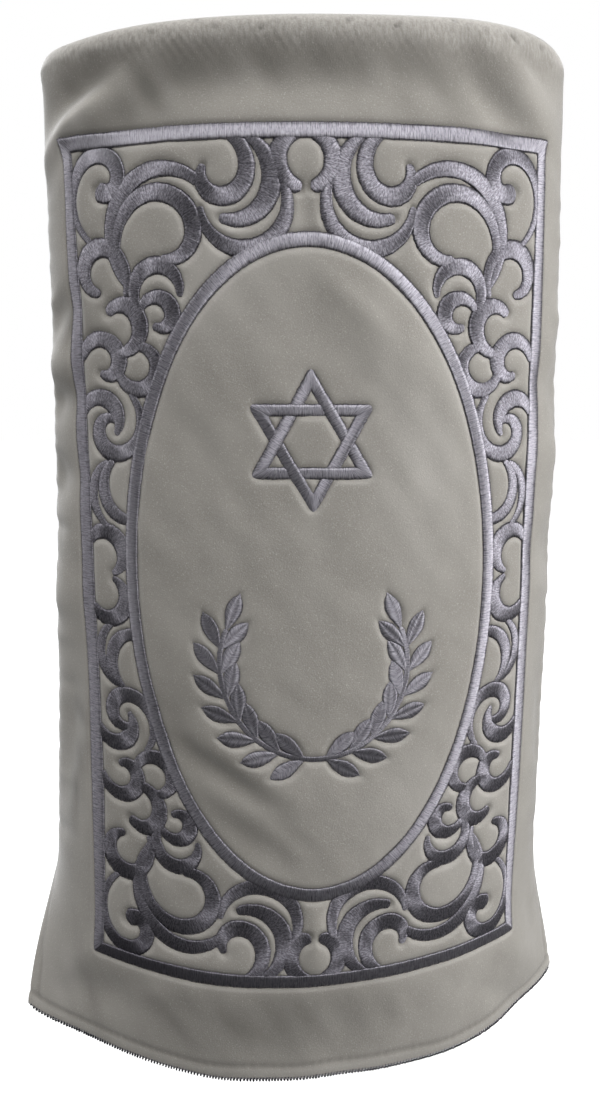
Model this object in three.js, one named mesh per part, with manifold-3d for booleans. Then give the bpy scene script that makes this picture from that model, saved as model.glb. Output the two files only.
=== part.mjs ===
// A Torah mantle: the velvet cover of a scroll, open at the hem and closed at the top by a stiff oval board with
// two holes for the roller handles. A front and a back panel meet at side seams that open into vents near the hem.
// Satin-stitch embroidery lies on the front: a frame, an oval ring, scrollwork, a star and a wreath.
// Millimetres, Z up, X across the front, Y towards the back. The origin is the middle of the board's underside,
// where the cover rests on the scroll.

import * as THREE from "three";
import { mergeVertices } from "three/addons/utils/BufferGeometryUtils.js";
import Module from "manifold-3d";

const wasm = await Module();
wasm.setup();

// Heights above the board's underside.
const hemZ = -650;
const ventZ = -540;

// Cloth and clearances.
const clothThick = 2;
const pieceGap = 0.3;
const seamFade = 26; // folds die out this far from a side seam
const askew = 0.012; // the hem's slope across the front

// Level sections of the cover: half its width and depth, its turn about Z in degrees and its shift along X.
const sections = [
  { z: 8, wide: 164.8, deep: 74.6, turn: 0, aside: 0 },
  { z: -321, wide: 174.8, deep: 92.6, turn: 3.3, aside: 3 },
  { z: hemZ, wide: 186.5, deep: 117, turn: 6.65, aside: -5 },
];

// The rolled rim, from its lip on the board outwards and down: how far in, and how high, for each face of the cloth.
const rimRows = [
  { inset: 11, z: 8.2, underInset: 11, underZ: 6.3 },
  { inset: 7, z: 8.4, underInset: 7, underZ: 6.4 },
  { inset: 3.6, z: 7.7, underInset: 4.4, underZ: 6.1 },
  { inset: 1.2, z: 5.6, underInset: 2.9, underZ: 4.6 },
  { inset: 0, z: 1.5, underInset: 2, underZ: 1.3 },
];

// How each panel leaves the side seams in the vents, at its left and right as seen from outside: its lower corner
// swings out and rises, and its edge draws in.
const vents = {
  front: { left: { out: 34, drawIn: 30, reach: 45 }, right: { out: 24, drawIn: 26, reach: 50 } },
  back: { left: { out: 8, drawIn: 6, reach: 60 }, right: { out: 8, drawIn: 6, reach: 60 } },
};
const swingRise = 0.01; // how far a corner rises for each square millimetre of its swing

// Folds: each is a soft ridge, or a trough where it is below zero. s and z are its middle, lean turns its length
// from the vertical towards +s in degrees, and along, across and high are its sizes. s is measured on the cloth
// from the middle of the panel.
const folds = {
  front: [
    { s: 0, z: -14, lean: 90, along: 125, across: 17, high: -4 },
    { s: -138, z: -16, lean: 65, along: 36, across: 15, high: -4 },
    { s: -133, z: -30, lean: 71, along: 32, across: 15, high: 3.5 },
    { s: 118, z: -28, lean: -52, along: 32, across: 15, high: -3.5 },
    { s: 139, z: -24, lean: -52, along: 30, across: 14, high: 3.5 },
    { s: 46, z: -171, lean: -45, along: 50, across: 21, high: 3 },
    { s: 6, z: -160, lean: -45, along: 34, across: 20, high: -2 },
    { s: -80, z: -225, lean: -20, along: 40, across: 22, high: -2 },
    { s: -56, z: -447, lean: -56, along: 60, across: 20, high: -3 },
    { s: -78, z: -470, lean: -56, along: 44, across: 18, high: 2.5 },
    { s: -55, z: -492, lean: -38, along: 34, across: 20, high: -2 },
    { s: -120, z: -470, lean: 0, along: 110, across: 50, high: -3 },
    { s: -178, z: -182, lean: 72, along: 22, across: 15, high: -3.5 },
    { s: -182, z: -222, lean: 78, along: 22, across: 14, high: 2.5 },
    { s: -184, z: -256, lean: 80, along: 24, across: 14, high: -3.5 },
    { s: -186, z: -336, lean: 74, along: 24, across: 18, high: 3 },
    { s: -182, z: -430, lean: 12, along: 56, across: 14, high: -4 },
    { s: 182, z: -196, lean: -75, along: 24, across: 13, high: -3.5 },
    { s: 183, z: -240, lean: -70, along: 24, across: 16, high: 2.5 },
    { s: 186, z: -305, lean: -75, along: 26, across: 16, high: -3 },
    { s: 188, z: -420, lean: -10, along: 60, across: 15, high: -3 },
    { s: 3, z: -545, lean: 0, along: 26, across: 15, high: 2 },
    { s: -150, z: -612, lean: 72, along: 44, across: 15, high: -3 },
    { s: 168, z: -606, lean: -36, along: 40, across: 17, high: 3.5 },
    { s: -62, z: -628, lean: 0, along: 36, across: 24, high: 2 },
    { s: 20, z: -632, lean: 0, along: 36, across: 20, high: -2 },
    { s: 96, z: -626, lean: 8, along: 40, across: 22, high: 2 },
    { s: 132, z: -650, lean: 0, along: 60, across: 34, high: 2.5 },
  ],
  back: [
    { s: 0, z: -14, lean: 90, along: 130, across: 17, high: -3.5 },
    { s: -110, z: -40, lean: 55, along: 50, across: 20, high: 3.5 },
    { s: 118, z: -46, lean: -50, along: 56, across: 20, high: 3.5 },
    { s: -40, z: -250, lean: 8, along: 150, across: 34, high: 4 },
    { s: 34, z: -300, lean: -6, along: 170, across: 30, high: -4 },
    { s: 96, z: -330, lean: -4, along: 150, across: 30, high: 3.5 },
    { s: -110, z: -380, lean: 6, along: 130, across: 30, high: -3.5 },
    { s: -62, z: -560, lean: 0, along: 90, across: 36, high: 4.5 },
    { s: 10, z: -590, lean: 0, along: 90, across: 34, high: -4 },
    { s: 84, z: -580, lean: 0, along: 90, across: 36, high: 4.5 },
    { s: 160, z: -560, lean: 0, along: 80, across: 26, high: -4 },
  ],
};

// How finely the panels are divided: columns across, and rows between these heights.
const panelGrid = {
  front: { columns: 27, bands: [{ to: -58, rows: 4 }, { to: ventZ, rows: 22 }, { to: hemZ, rows: 6 }] },
  back: { columns: 18, bands: [{ to: -58, rows: 3 }, { to: ventZ, rows: 12 }, { to: hemZ, rows: 4 }] },
};

// The stiff top: a covered board with two bound holes for the roller handles.
const board = { thick: 6, inset: 5, roundOver: 1.4, holeRadius: 18, holeSpacing: 156 };

// The embroidery. s is measured across the cloth, and v up from the middle of the oval.
const ovalZ = -315;
const satinWide = 7.6;
const threadLift = 0.9; // the thread's underside above the cloth's smooth form
const threadThick = 1.5;
const frameHalf = { wide: 158, high: 267 };
const frameParts = { across: 22, up: 20 };
const ovalHalf = { wide: 121.6, high: 208 };
const ovalParts = 44;
const strokeStep = 38; // degrees between the points of a stroke

// The strokes of one quarter of the scrollwork, which the other quarters mirror. Each runs round its own middle
// (s, v) from the angle from to the angle to, in degrees, while its radius eases from rFrom to rTo. wFrom, wMid
// and wTo are its widths.
const scrollStrokes = [
  { s: -124, v: 239, rFrom: 36, from: 247, rTo: 6, to: -112, wFrom: 3.5, wMid: 9.5, wTo: 10.5 },
  { s: -83, v: 213, rFrom: 45, from: 233, rTo: 31, to: 53, wFrom: 3.5, wMid: 9.5, wTo: 6 },
  { s: -84, v: 208, rFrom: 38, from: 212, rTo: 14.5, to: -96, wFrom: 5, wMid: 10, wTo: 6 },
  { s: -91, v: 176, rFrom: 17, from: 216, rTo: 14, to: -8, wFrom: 5, wMid: 9.5, wTo: 3.5 },
  { s: -90.5, v: 161.5, rFrom: 14, from: 170, rTo: 7, to: -115, wFrom: 4, wMid: 9.5, wTo: 4.5 },
  { s: -132.5, v: 186.5, rFrom: 23, from: -30, rTo: 11, to: 262, wFrom: 3.5, wMid: 11, wTo: 5 },
  { s: -117.5, v: 157, rFrom: 18, from: -104, rTo: 11, to: 132, wFrom: 5, wMid: 10.5, wTo: 6.5 },
  { s: -130, v: 133.5, rFrom: 20, from: 165, rTo: 7.5, to: -112, wFrom: 7, wMid: 10.5, wTo: 5 },
  { s: -103.5, v: 131.5, rFrom: 16, from: -190, rTo: 12, to: 80, wFrom: 3.5, wMid: 10, wTo: 5.5 },
  { s: -129, v: 93, rFrom: 27, from: 52, rTo: 7, to: -300, wFrom: 3.5, wMid: 10, wTo: 4 },
  { s: -135, v: 98, rFrom: 17, from: 155, rTo: 12.5, to: -32, wFrom: 7, wMid: 10.5, wTo: 3.5 },
  { s: -52, v: 240, rFrom: 24, from: 68, rTo: 9, to: -205, wFrom: 7, wMid: 10, wTo: 4.5 },
  { s: -43, v: 236, rFrom: 27, from: 75, rTo: 21, to: -105, wFrom: 4, wMid: 10.5, wTo: 6 },
  { s: -37, v: 224.5, rFrom: 26, from: 18, rTo: 25.5, to: -172, wFrom: 5, wMid: 9.5, wTo: 4 },
  { s: -1, v: 247, rFrom: 16, from: 112, rTo: 14, to: 270, wFrom: 8, wMid: 9.5, wTo: 5 },
  { s: -122, v: 53, rFrom: 22, from: 122, rTo: 25, to: 232, wFrom: 4, wMid: 7, wTo: 4 },
  { s: -118, v: 54, rFrom: 22, from: 122, rTo: 17, to: 262, wFrom: 4, wMid: 8.5, wTo: 7 },
  { s: -137, v: 14, rFrom: 15.5, from: 142, rTo: 13, to: -64, wFrom: 7, wMid: 10.5, wTo: 4 },
];

// The star: two crossed triangles of satin bars.
const star = { v: 88, radius: 44, barWide: 6.4, barParts: 5 };

// The wreath: two leafy branches that cross at the foot. Leaves stand in pairs along each stem.
const wreath = { v: -52, radius: 60, foot: -104, tip: 22, stemWide: 3 };
const leaf = { pairs: 7, first: -84, last: 10, long: 26, wide: 9, splay: 35, corners: 6 };

// Colours.
const velvetColour = 0xa09d94;
const threadColour = 0x8e8c94;

const radians = THREE.MathUtils.degToRad;

// A column of the section table at height z, on the parabola through its three rows.
function sectionAt(z, column) {
  const k = (sections[0].z - z) / (sections[0].z - sections[2].z);
  const [top, middle, bottom] = sections.map((row) => row[column]);
  return top * (1 - k) * (1 - 2 * k) + middle * 4 * k * (1 - k) + bottom * k * (2 * k - 1);
}

// The angle round an ellipse, from the middle of its front, after a distance s along it.
function angleAt(s, wide, deep) {
  const steps = 24;
  const speed = (angle) => Math.hypot(wide * Math.cos(angle), deep * Math.sin(angle));
  let angle = 0;
  for (let i = 0; i < steps; i += 1) {
    const half = angle + s / steps / 2 / speed(angle);
    angle += s / steps / speed(half);
  }
  return angle;
}

// A quarter of the way round the section at height z.
function quarterLength(z) {
  const wide = sectionAt(z, "wide");
  const deep = sectionAt(z, "deep");
  const m = ((wide - deep) / (wide + deep)) ** 2;
  return ((Math.PI * (wide + deep)) / 4) * (1 + (3 * m) / (10 + Math.sqrt(4 - 3 * m)));
}

// How far down the vent a height is, from 0 at its top to 1 at the hem.
function ventShare(z) {
  return THREE.MathUtils.clamp((ventZ - z) / (ventZ - hemZ), 0, 1);
}

// The folds' height at a place on a panel.
function foldHeight(side, s, z) {
  const fade = THREE.MathUtils.smoothstep(quarterLength(z) - Math.abs(s), 0, seamFade);
  let height = 0;
  for (const fold of folds[side]) {
    const cos = Math.cos(radians(fold.lean));
    const sin = Math.sin(radians(fold.lean));
    const across = ((s - fold.s) * cos - (z - fold.z) * sin) / fold.across;
    const along = ((s - fold.s) * sin + (z - fold.z) * cos) / fold.along;
    height += fold.high * Math.exp(-across * across - along * along);
  }
  return height * Math.max(fade, ventShare(z));
}

// The point at s and z on a panel, lifted off its outer face.
function clothPoint(side, s, z, lift) {
  const wide = sectionAt(z, "wide");
  const deep = sectionAt(z, "deep");
  const angle = angleAt(s, wide, deep);
  const normal = new THREE.Vector2(deep * Math.sin(angle), -wide * Math.cos(angle)).normalize();
  const vent = vents[side][s < 0 ? "left" : "right"];
  const toEdge = (quarterLength(z) - Math.abs(s)) / vent.reach;
  const swing = vent.out * ventShare(z) ** 1.5 * Math.exp(-toEdge * toEdge);
  const out = lift + foldHeight(side, s, z) + swing;
  const flip = side === "front" ? 1 : -1;
  const flat = new THREE.Vector2(wide * Math.sin(angle), -deep * Math.cos(angle));
  flat.addScaledVector(normal, out).multiplyScalar(flip);
  flat.rotateAround(new THREE.Vector2(), radians(sectionAt(z, "turn")));
  const x = flat.x + sectionAt(z, "aside");
  const down = (sections[0].z - z) / (sections[0].z - sections[2].z);
  return [x, flat.y, z - askew * x * down + swingRise * swing * swing];
}

// The heights of a panel's rows below the rim.
function wallHeights(bands) {
  const heights = [];
  let from = rimRows.at(-1).z;
  for (const band of bands) {
    for (let i = 1; i <= band.rows; i += 1) {
      heights.push(from + ((band.to - from) * i) / band.rows);
    }
    from = band.to;
  }
  return heights;
}

// A closed mesh from two grids of points that face each other, row by row.
function shellGeometry(outer, inner) {
  const rows = outer.length;
  const columns = outer[0].length;
  const layer = rows * columns;
  const positions = [...outer.flat(), ...inner.flat()].flat();
  const at = (row, column) => row * columns + column;
  const triangles = [];
  const quad = (a, b, c, d) => triangles.push(a, b, c, a, c, d);
  for (let r = 0; r < rows - 1; r += 1) {
    for (let c = 0; c < columns - 1; c += 1) {
      quad(at(r, c), at(r + 1, c), at(r + 1, c + 1), at(r, c + 1));
      quad(layer + at(r, c), layer + at(r, c + 1), layer + at(r + 1, c + 1), layer + at(r + 1, c));
    }
    const last = columns - 1;
    quad(at(r, 0), layer + at(r, 0), layer + at(r + 1, 0), at(r + 1, 0));
    quad(at(r, last), at(r + 1, last), layer + at(r + 1, last), layer + at(r, last));
  }
  for (let c = 0; c < columns - 1; c += 1) {
    const last = rows - 1;
    quad(at(0, c), at(0, c + 1), layer + at(0, c + 1), layer + at(0, c));
    quad(at(last, c), layer + at(last, c), layer + at(last, c + 1), at(last, c + 1));
  }
  const geometry = new THREE.BufferGeometry();
  geometry.setAttribute("position", new THREE.Float32BufferAttribute(positions, 3));
  geometry.setIndex(triangles);
  return geometry;
}

// One panel: the rolled rim, the hanging wall with its folds, and the hem.
function panelGeometry(side) {
  const { columns, bands } = panelGrid[side];
  const row = (z, lift) => {
    const half = quarterLength(z) - pieceGap / 2;
    const start = vents[side].left.drawIn * ventShare(z) - half;
    const end = half - vents[side].right.drawIn * ventShare(z);
    return Array.from({ length: columns + 1 }, (_, i) => {
      return clothPoint(side, start + ((end - start) * i) / columns, z, lift);
    });
  };
  const heights = wallHeights(bands);
  const outer = [...rimRows.map((rim) => row(rim.z, -rim.inset)), ...heights.map((z) => row(z, 0))];
  const inner = [
    ...rimRows.map((rim) => row(rim.underZ, -rim.underInset)),
    ...heights.map((z) => row(z, -clothThick)),
  ];
  return shellGeometry(outer, inner);
}

// The top board, with its edges and the two holes rounded over.
function boardGeometry() {
  const { thick, inset, roundOver, holeRadius, holeSpacing } = board;
  const outline = new THREE.Shape();
  const wide = sectionAt(0, "wide") - inset;
  const deep = sectionAt(0, "deep") - inset;
  outline.absellipse(0, 0, wide, deep, 0, 2 * Math.PI, false, 0);
  for (const side of [-1, 1]) {
    const hole = new THREE.Path();
    hole.absarc((side * holeSpacing) / 2, 0, holeRadius + roundOver, 0, 2 * Math.PI, true);
    outline.holes.push(hole);
  }
  const geometry = new THREE.ExtrudeGeometry(outline, {
    depth: thick - 2 * roundOver,
    curveSegments: 14,
    bevelThickness: roundOver,
    bevelSize: roundOver,
    bevelOffset: -roundOver,
    bevelSegments: 1,
  });
  return geometry.translate(0, 0, roundOver);
}

// The points down the middle of a stroke, with its direction and width at each.
function strokeCourse(stroke) {
  const turn = radians(stroke.to - stroke.from);
  const step = stroke.step ?? strokeStep;
  const count = Math.max(4, Math.round(Math.abs(stroke.to - stroke.from) / step));
  return Array.from({ length: count + 1 }, (_, i) => {
    const u = i / count;
    const angle = radians(stroke.from) + turn * u;
    const radius = stroke.rTo + (stroke.rFrom - stroke.rTo) * (1 - u) ** 2;
    const growth = -2 * (stroke.rFrom - stroke.rTo) * (1 - u);
    const ds = growth * Math.cos(angle) - radius * Math.sin(angle) * turn;
    const dv = growth * Math.sin(angle) + radius * Math.cos(angle) * turn;
    const end = u < 0.5 ? stroke.wFrom : stroke.wTo;
    return {
      s: stroke.s + radius * Math.cos(angle),
      v: stroke.v + radius * Math.sin(angle),
      heading: Math.atan2(dv, ds),
      width: end + (stroke.wMid - end) * Math.sin(Math.PI * u),
    };
  });
}

// A flat piece of embroidery with this outline, as a solid to join with others.
function flatSolid(corners) {
  const shape = new THREE.Shape(corners.map(([s, v]) => new THREE.Vector2(s, v)));
  const geometry = new THREE.ExtrudeGeometry(shape, { depth: threadThick, bevelEnabled: false });
  geometry.deleteAttribute("normal");
  geometry.deleteAttribute("uv");
  const merged = mergeVertices(geometry, 1e-5);
  const mesh = new wasm.Mesh({
    numProp: 3,
    vertProperties: merged.getAttribute("position").array,
    triVerts: new Uint32Array(merged.index.array),
  });
  return new wasm.Manifold(mesh);
}

// Pieces joined into one solid. Each band is joined from its own pieces, which meet exactly, before it joins others.
function join(pieces) {
  return wasm.Manifold.union(pieces);
}

// A stroke as a chain of short pieces, each with four corners, and a point on the first and the last.
function strokeSolid(stroke, mirrorS, mirrorV) {
  const course = strokeCourse(stroke);
  const beside = (at, degrees) => {
    const angle = at.heading + radians(degrees);
    const reach = at.width / 2;
    return [mirrorS * (at.s + reach * Math.cos(angle)), mirrorV * (at.v + reach * Math.sin(angle))];
  };
  const pieces = course.slice(1).map((to, i) => {
    const from = course[i];
    const front = to === course.at(-1) ? [90, 0, -90] : [90, -90];
    const rear = i === 0 ? [-90, 180, 90] : [-90, 90];
    return flatSolid([...front.map((d) => beside(to, d)), ...rear.map((d) => beside(from, d))]);
  });
  return join(pieces);
}

// A straight band between two mitred ends, each given by its outer and its inner corner, as a chain of pieces.
function barPieces(start, end, parts) {
  const between = (a, b, k) => [a[0] + (b[0] - a[0]) * k, a[1] + (b[1] - a[1]) * k];
  return Array.from({ length: parts }, (_, i) => {
    const [from, to] = [i / parts, (i + 1) / parts];
    const outer = [from, to].map((k) => between(start[0], end[0], k));
    const inner = [to, from].map((k) => between(start[1], end[1], k));
    return flatSolid([...outer, ...inner]);
  });
}

// A closed band of straight bars, from its corners outside and inside.
function bandSolid(outer, inner, partsOf) {
  const pieces = outer.flatMap((corner, i) => {
    const next = (i + 1) % outer.length;
    return barPieces([corner, inner[i]], [outer[next], inner[next]], partsOf(i));
  });
  return join(pieces);
}

// The corners of a polygon on an ellipse round (0, v), the first at this angle in degrees.
function ellipseCorners(count, wide, high, v, first) {
  return Array.from({ length: count }, (_, i) => {
    const angle = radians(first) + (2 * Math.PI * i) / count;
    return [wide * Math.cos(angle), v + high * Math.sin(angle)];
  });
}

// The corners of a rectangle round the middle.
function rectangleCorners(wide, high) {
  const corners = [[-1, -1], [1, -1], [1, 1], [-1, 1]];
  return corners.map(([s, v]) => [s * wide, v * high]);
}

// A flat solid laid on the front panel.
function layOnFront(solid) {
  const mesh = solid.getMesh();
  const placed = [];
  for (let i = 0; i < mesh.numVert; i += 1) {
    const [s, v, t] = mesh.vertProperties.subarray(i * mesh.numProp, i * mesh.numProp + 3);
    placed.push(...clothPoint("front", s, ovalZ + v, threadLift + t));
  }
  const geometry = new THREE.BufferGeometry();
  geometry.setAttribute("position", new THREE.Float32BufferAttribute(placed, 3));
  geometry.setIndex([...mesh.triVerts]);
  return geometry;
}

// The frame, the oval ring and the four quarters of scrollwork.
function borderGeometry() {
  const { wide, high } = frameHalf;
  const frame = bandSolid(
    rectangleCorners(wide, high),
    rectangleCorners(wide - satinWide, high - satinWide),
    (side) => (side % 2 ? frameParts.up : frameParts.across),
  );
  const ring = bandSolid(
    ellipseCorners(ovalParts, ovalHalf.wide, ovalHalf.high, 0, 0),
    ellipseCorners(ovalParts, ovalHalf.wide - satinWide, ovalHalf.high - satinWide, 0, 0),
    () => 1,
  );
  const scrolls = [[1, 1], [1, -1], [-1, 1], [-1, -1]].flatMap(([mirrorS, mirrorV]) =>
    scrollStrokes.map((stroke) => strokeSolid(stroke, mirrorS, mirrorV)),
  );
  return layOnFront(join([frame, ring, ...scrolls]));
}

// The star's two triangles, one pointing up and one down.
function starGeometry() {
  const { v, radius, barWide, barParts } = star;
  const inside = radius - 2 * barWide;
  const triangles = [90, -90].map((first) =>
    bandSolid(
      ellipseCorners(3, radius, radius, v, first),
      ellipseCorners(3, inside, inside, v, first),
      () => barParts,
    ),
  );
  return layOnFront(join(triangles));
}

// A pointed leaf that grows from (s, v) along a heading, its half-width a half-wave from base to tip.
function leafCorners(s, v, heading) {
  return Array.from({ length: leaf.corners }, (_, i) => {
    const u = (2 * i) / leaf.corners;
    const along = (u < 1 ? u : 2 - u) * leaf.long;
    const across = (leaf.wide * Math.sin(Math.PI * u)) / 2;
    return [
      s + along * Math.cos(heading) - across * Math.sin(heading),
      v + along * Math.sin(heading) + across * Math.cos(heading),
    ];
  });
}

// The wreath's two branches: a stem, pairs of leaves along it and one at its tip.
function wreathGeometry() {
  const { v, radius, foot, tip, stemWide } = wreath;
  const widths = { wFrom: stemWide, wMid: stemWide, wTo: stemWide };
  const stem = { s: 0, v, rFrom: radius, from: foot, rTo: radius, to: tip, step: 14, ...widths };
  const seats = Array.from({ length: leaf.pairs }, (_, i) => {
    return leaf.first + ((leaf.last - leaf.first) * i) / (leaf.pairs - 1);
  });
  const leaves = seats.flatMap((at) => [-leaf.splay, leaf.splay].map((splay) => ({ at, splay })));
  leaves.push({ at: tip, splay: 0 });
  const branches = [1, -1].flatMap((side) => {
    const leafPieces = leaves.map(({ at, splay }) => {
      const angle = radians(at);
      const seat = [radius * Math.cos(angle), v + radius * Math.sin(angle)];
      const corners = leafCorners(...seat, radians(at + 90 + splay));
      return flatSolid(corners.map(([s, height]) => [side * s, height]));
    });
    return [strokeSolid(stem, side, 1), ...leafPieces];
  });
  return layOnFront(join(branches));
}

const velvet = new THREE.MeshStandardMaterial({ color: velvetColour, roughness: 0.95, metalness: 0 });
const thread = new THREE.MeshStandardMaterial({ color: threadColour, roughness: 0.5, metalness: 0 });

const mantle = new THREE.Group();
const addPiece = (name, geometry, material) => {
  const mesh = new THREE.Mesh(geometry, material.clone());
  mesh.name = name;
  mantle.add(mesh);
};
addPiece("front_panel", panelGeometry("front"), velvet);
addPiece("back_panel", panelGeometry("back"), velvet);
addPiece("top_board", boardGeometry(), velvet);
addPiece("embroidered_border", borderGeometry(), thread);
addPiece("embroidered_star", starGeometry(), thread);
addPiece("embroidered_wreath", wreathGeometry(), thread);

export default mantle;
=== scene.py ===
import math
import bpy
import bmesh
import numpy as np
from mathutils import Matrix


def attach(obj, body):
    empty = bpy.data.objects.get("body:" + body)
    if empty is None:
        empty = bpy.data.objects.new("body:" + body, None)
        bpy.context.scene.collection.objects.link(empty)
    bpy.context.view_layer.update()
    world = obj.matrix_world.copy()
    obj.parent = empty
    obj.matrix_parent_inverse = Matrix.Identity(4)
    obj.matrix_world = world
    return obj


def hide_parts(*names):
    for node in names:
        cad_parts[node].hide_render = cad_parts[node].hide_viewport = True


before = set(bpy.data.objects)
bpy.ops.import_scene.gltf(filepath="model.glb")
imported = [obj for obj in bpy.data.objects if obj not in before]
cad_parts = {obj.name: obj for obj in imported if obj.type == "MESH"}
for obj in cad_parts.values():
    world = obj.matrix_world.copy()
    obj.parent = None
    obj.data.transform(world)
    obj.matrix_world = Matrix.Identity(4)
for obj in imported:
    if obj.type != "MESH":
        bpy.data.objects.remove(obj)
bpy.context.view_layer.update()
print("frame loaded")

# A velvet cover for a scroll, with satin-stitch embroidery on its front. The tables are in
# millimetres, with Z up and the front facing -Y, and makePiece turns them into metres. s is measured
# across the cloth from the middle of a panel, and v up from the middle of the embroidered oval.
mm = 0.001
cloth = {
    "top": 8.0,
    "ventTop": -540.0,
    "hem": -650.0,
    "thick": 2.0,
    "seamGap": 0.1,
    "seamFade": 26.0,
    "askew": 0.012,
    "arcSteps": 24,
}
embroidery = {"middle": -315.0, "wide": 7.6, "step": 0.45}

# The camera stands a little above the middle, close to the front, and looks down and slightly to the left.
cameraPlace = {
    "x": 2.9,
    "y": -594.7,
    "z": -178.4,
    "down": 12.54,
    "left": 0.38,
    "lens": 27.82,
    "longSide": 36.0,
}


def addCamera():
    # a quarter turn about X sets the camera level, and the
    # two angles in degrees turn it down and to the left
    data = bpy.data.cameras.new("camera")
    data.lens = cameraPlace["lens"]
    data.sensor_width = cameraPlace["longSide"]
    camera = bpy.data.objects.new("camera", data)
    camera.location = [cameraPlace[axis] * mm for axis in "xyz"]
    camera.rotation_euler = (math.radians(90 - cameraPlace["down"]), 0, math.radians(cameraPlace["left"]))
    bpy.context.scene.collection.objects.link(camera)
    bpy.context.scene.camera = camera


addCamera()

# The studio: a pale floor below the hem, lit from inside so that it stays even, a
# pale room whose light is stronger above than below, and soft lamps. Each lamp shines
# from its place at the middle of the cover, and size is the side of its square.
studioFloor = {
    "drop": 150.0,
    "half": 6000.0,
    "colour": (0.30, 0.30, 0.30),
    "roughness": 0.9,
    "shine": 0.0,
    "glow": 0.97,
}
studioRoom = {
    "seen": (1.0, 1.0, 1.0),
    "fill": (0.97, 0.98, 1.0),
    "above": 0.155,
    "below": 0.02,
    "edge": 0.35,
}
lamps = {
    "key": {"place": (600, -1600, 800), "size": 900, "watts": 20},
    "right": {"place": (1700, -300, -100), "size": 1000, "watts": 25},
    "top": {"place": (-100, -100, 1400), "size": 900, "watts": 17},
    "left": {"place": (-1600, -500, 300), "size": 900, "watts": 4},
    "side": {"place": (-1650, 450, 300), "size": 1200, "watts": 9},
    "back": {"place": (-900, 1700, 700), "size": 1200, "watts": 26},
}


def addFloor():
    # a level square that the cover neither reflects nor takes light from
    half = studioFloor["half"] * mm
    height = (cloth["hem"] - studioFloor["drop"]) * mm
    mesh = bpy.data.meshes.new("floor")
    corners = [(-half, -half, height), (half, -half, height), (half, half, height), (-half, half, height)]
    mesh.from_pydata(corners, [], [(0, 1, 2, 3)])
    floor = bpy.data.objects.new("floor", mesh)
    bpy.context.scene.collection.objects.link(floor)
    paint = bpy.data.materials.new("floor_paint")
    paint.use_nodes = True
    paper = paint.node_tree.nodes["Principled BSDF"]
    paper.inputs["Base Color"].default_value = (*studioFloor["colour"], 1)
    paper.inputs["Roughness"].default_value = studioFloor["roughness"]
    paper.inputs["Specular IOR Level"].default_value = studioFloor["shine"]
    paper.inputs["Emission Color"].default_value = (1, 1, 1, 1)
    paper.inputs["Emission Strength"].default_value = studioFloor["glow"]
    mesh.materials.append(paint)
    floor.visible_diffuse = False
    floor.visible_glossy = False


def addRoom():
    # the camera sees a plain room, and its light fades from above to below by the height of the direction
    world = bpy.data.worlds.new("room")
    world.use_nodes = True
    tree = world.node_tree
    fill = tree.nodes["Background"]
    fill.inputs["Color"].default_value = (*studioRoom["fill"], 1)
    way = tree.nodes.new("ShaderNodeTexCoord")
    heights = tree.nodes.new("ShaderNodeSeparateXYZ")
    strength = tree.nodes.new("ShaderNodeMapRange")
    strength.inputs["From Min"].default_value = -studioRoom["edge"]
    strength.inputs["From Max"].default_value = studioRoom["edge"]
    strength.inputs["To Min"].default_value = studioRoom["below"]
    strength.inputs["To Max"].default_value = studioRoom["above"]
    tree.links.new(way.outputs["Generated"], heights.inputs[0])
    tree.links.new(heights.outputs["Z"], strength.inputs["Value"])
    tree.links.new(strength.outputs[0], fill.inputs["Strength"])
    seen = tree.nodes.new("ShaderNodeBackground")
    seen.inputs["Color"].default_value = (*studioRoom["seen"], 1)
    rays = tree.nodes.new("ShaderNodeLightPath")
    either = tree.nodes.new("ShaderNodeMixShader")
    tree.links.new(rays.outputs["Is Camera Ray"], either.inputs[0])
    tree.links.new(fill.outputs[0], either.inputs[1])
    tree.links.new(seen.outputs[0], either.inputs[2])
    tree.links.new(either.outputs[0], tree.nodes["World Output"].inputs["Surface"])
    bpy.context.scene.world = world


def addLamps():
    # a lamp shines down at first, so it is tipped by its
    # way's angle from straight down, then turned to the way
    for name, lamp in lamps.items():
        data = bpy.data.lights.new(name, "AREA")
        data.size = lamp["size"] * mm
        data.energy = lamp["watts"]
        light = bpy.data.objects.new(name, data)
        place = np.array(lamp["place"]) * mm
        light.location = place
        towards = np.array([0, 0, embroidery["middle"] * mm]) - place
        light.rotation_euler = (
            math.atan2(np.hypot(towards[0], towards[1]), -towards[2]),
            0,
            math.atan2(towards[1], towards[0]) - math.pi / 2,
        )
        bpy.context.scene.collection.objects.link(light)


addFloor()
addRoom()
addLamps()
bpy.context.scene.view_settings.view_transform = "Standard"
print("camera and studio")

# The level sections of the cover at its top, middle and hem: half its
# width and depth, its turn about Z in degrees and its shift along X.
sections = {
    "wide": (164.8, 174.8, 186.5),
    "deep": (74.6, 92.6, 117.0),
    "turn": (0.0, 3.3, 6.65),
    "aside": (0.0, 3.0, -5.0),
}

# How the panels leave the side seams in the vents, at their left (-1) and right (1) as seen from
# outside: a lower corner swings out and rises, its edge draws in, and the swing fades over the reach.
vents = {
    "front": {
        -1: {"out": 34.0, "drawIn": 30.0, "reach": 45.0},
        1: {"out": 24.0, "drawIn": 26.0, "reach": 50.0},
    },
    "back": {
        -1: {"out": 8.0, "drawIn": 6.0, "reach": 60.0},
        1: {"out": 8.0, "drawIn": 6.0, "reach": 60.0},
    },
}
cornerSwing = {"power": 1.5, "rise": 0.01}

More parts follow.
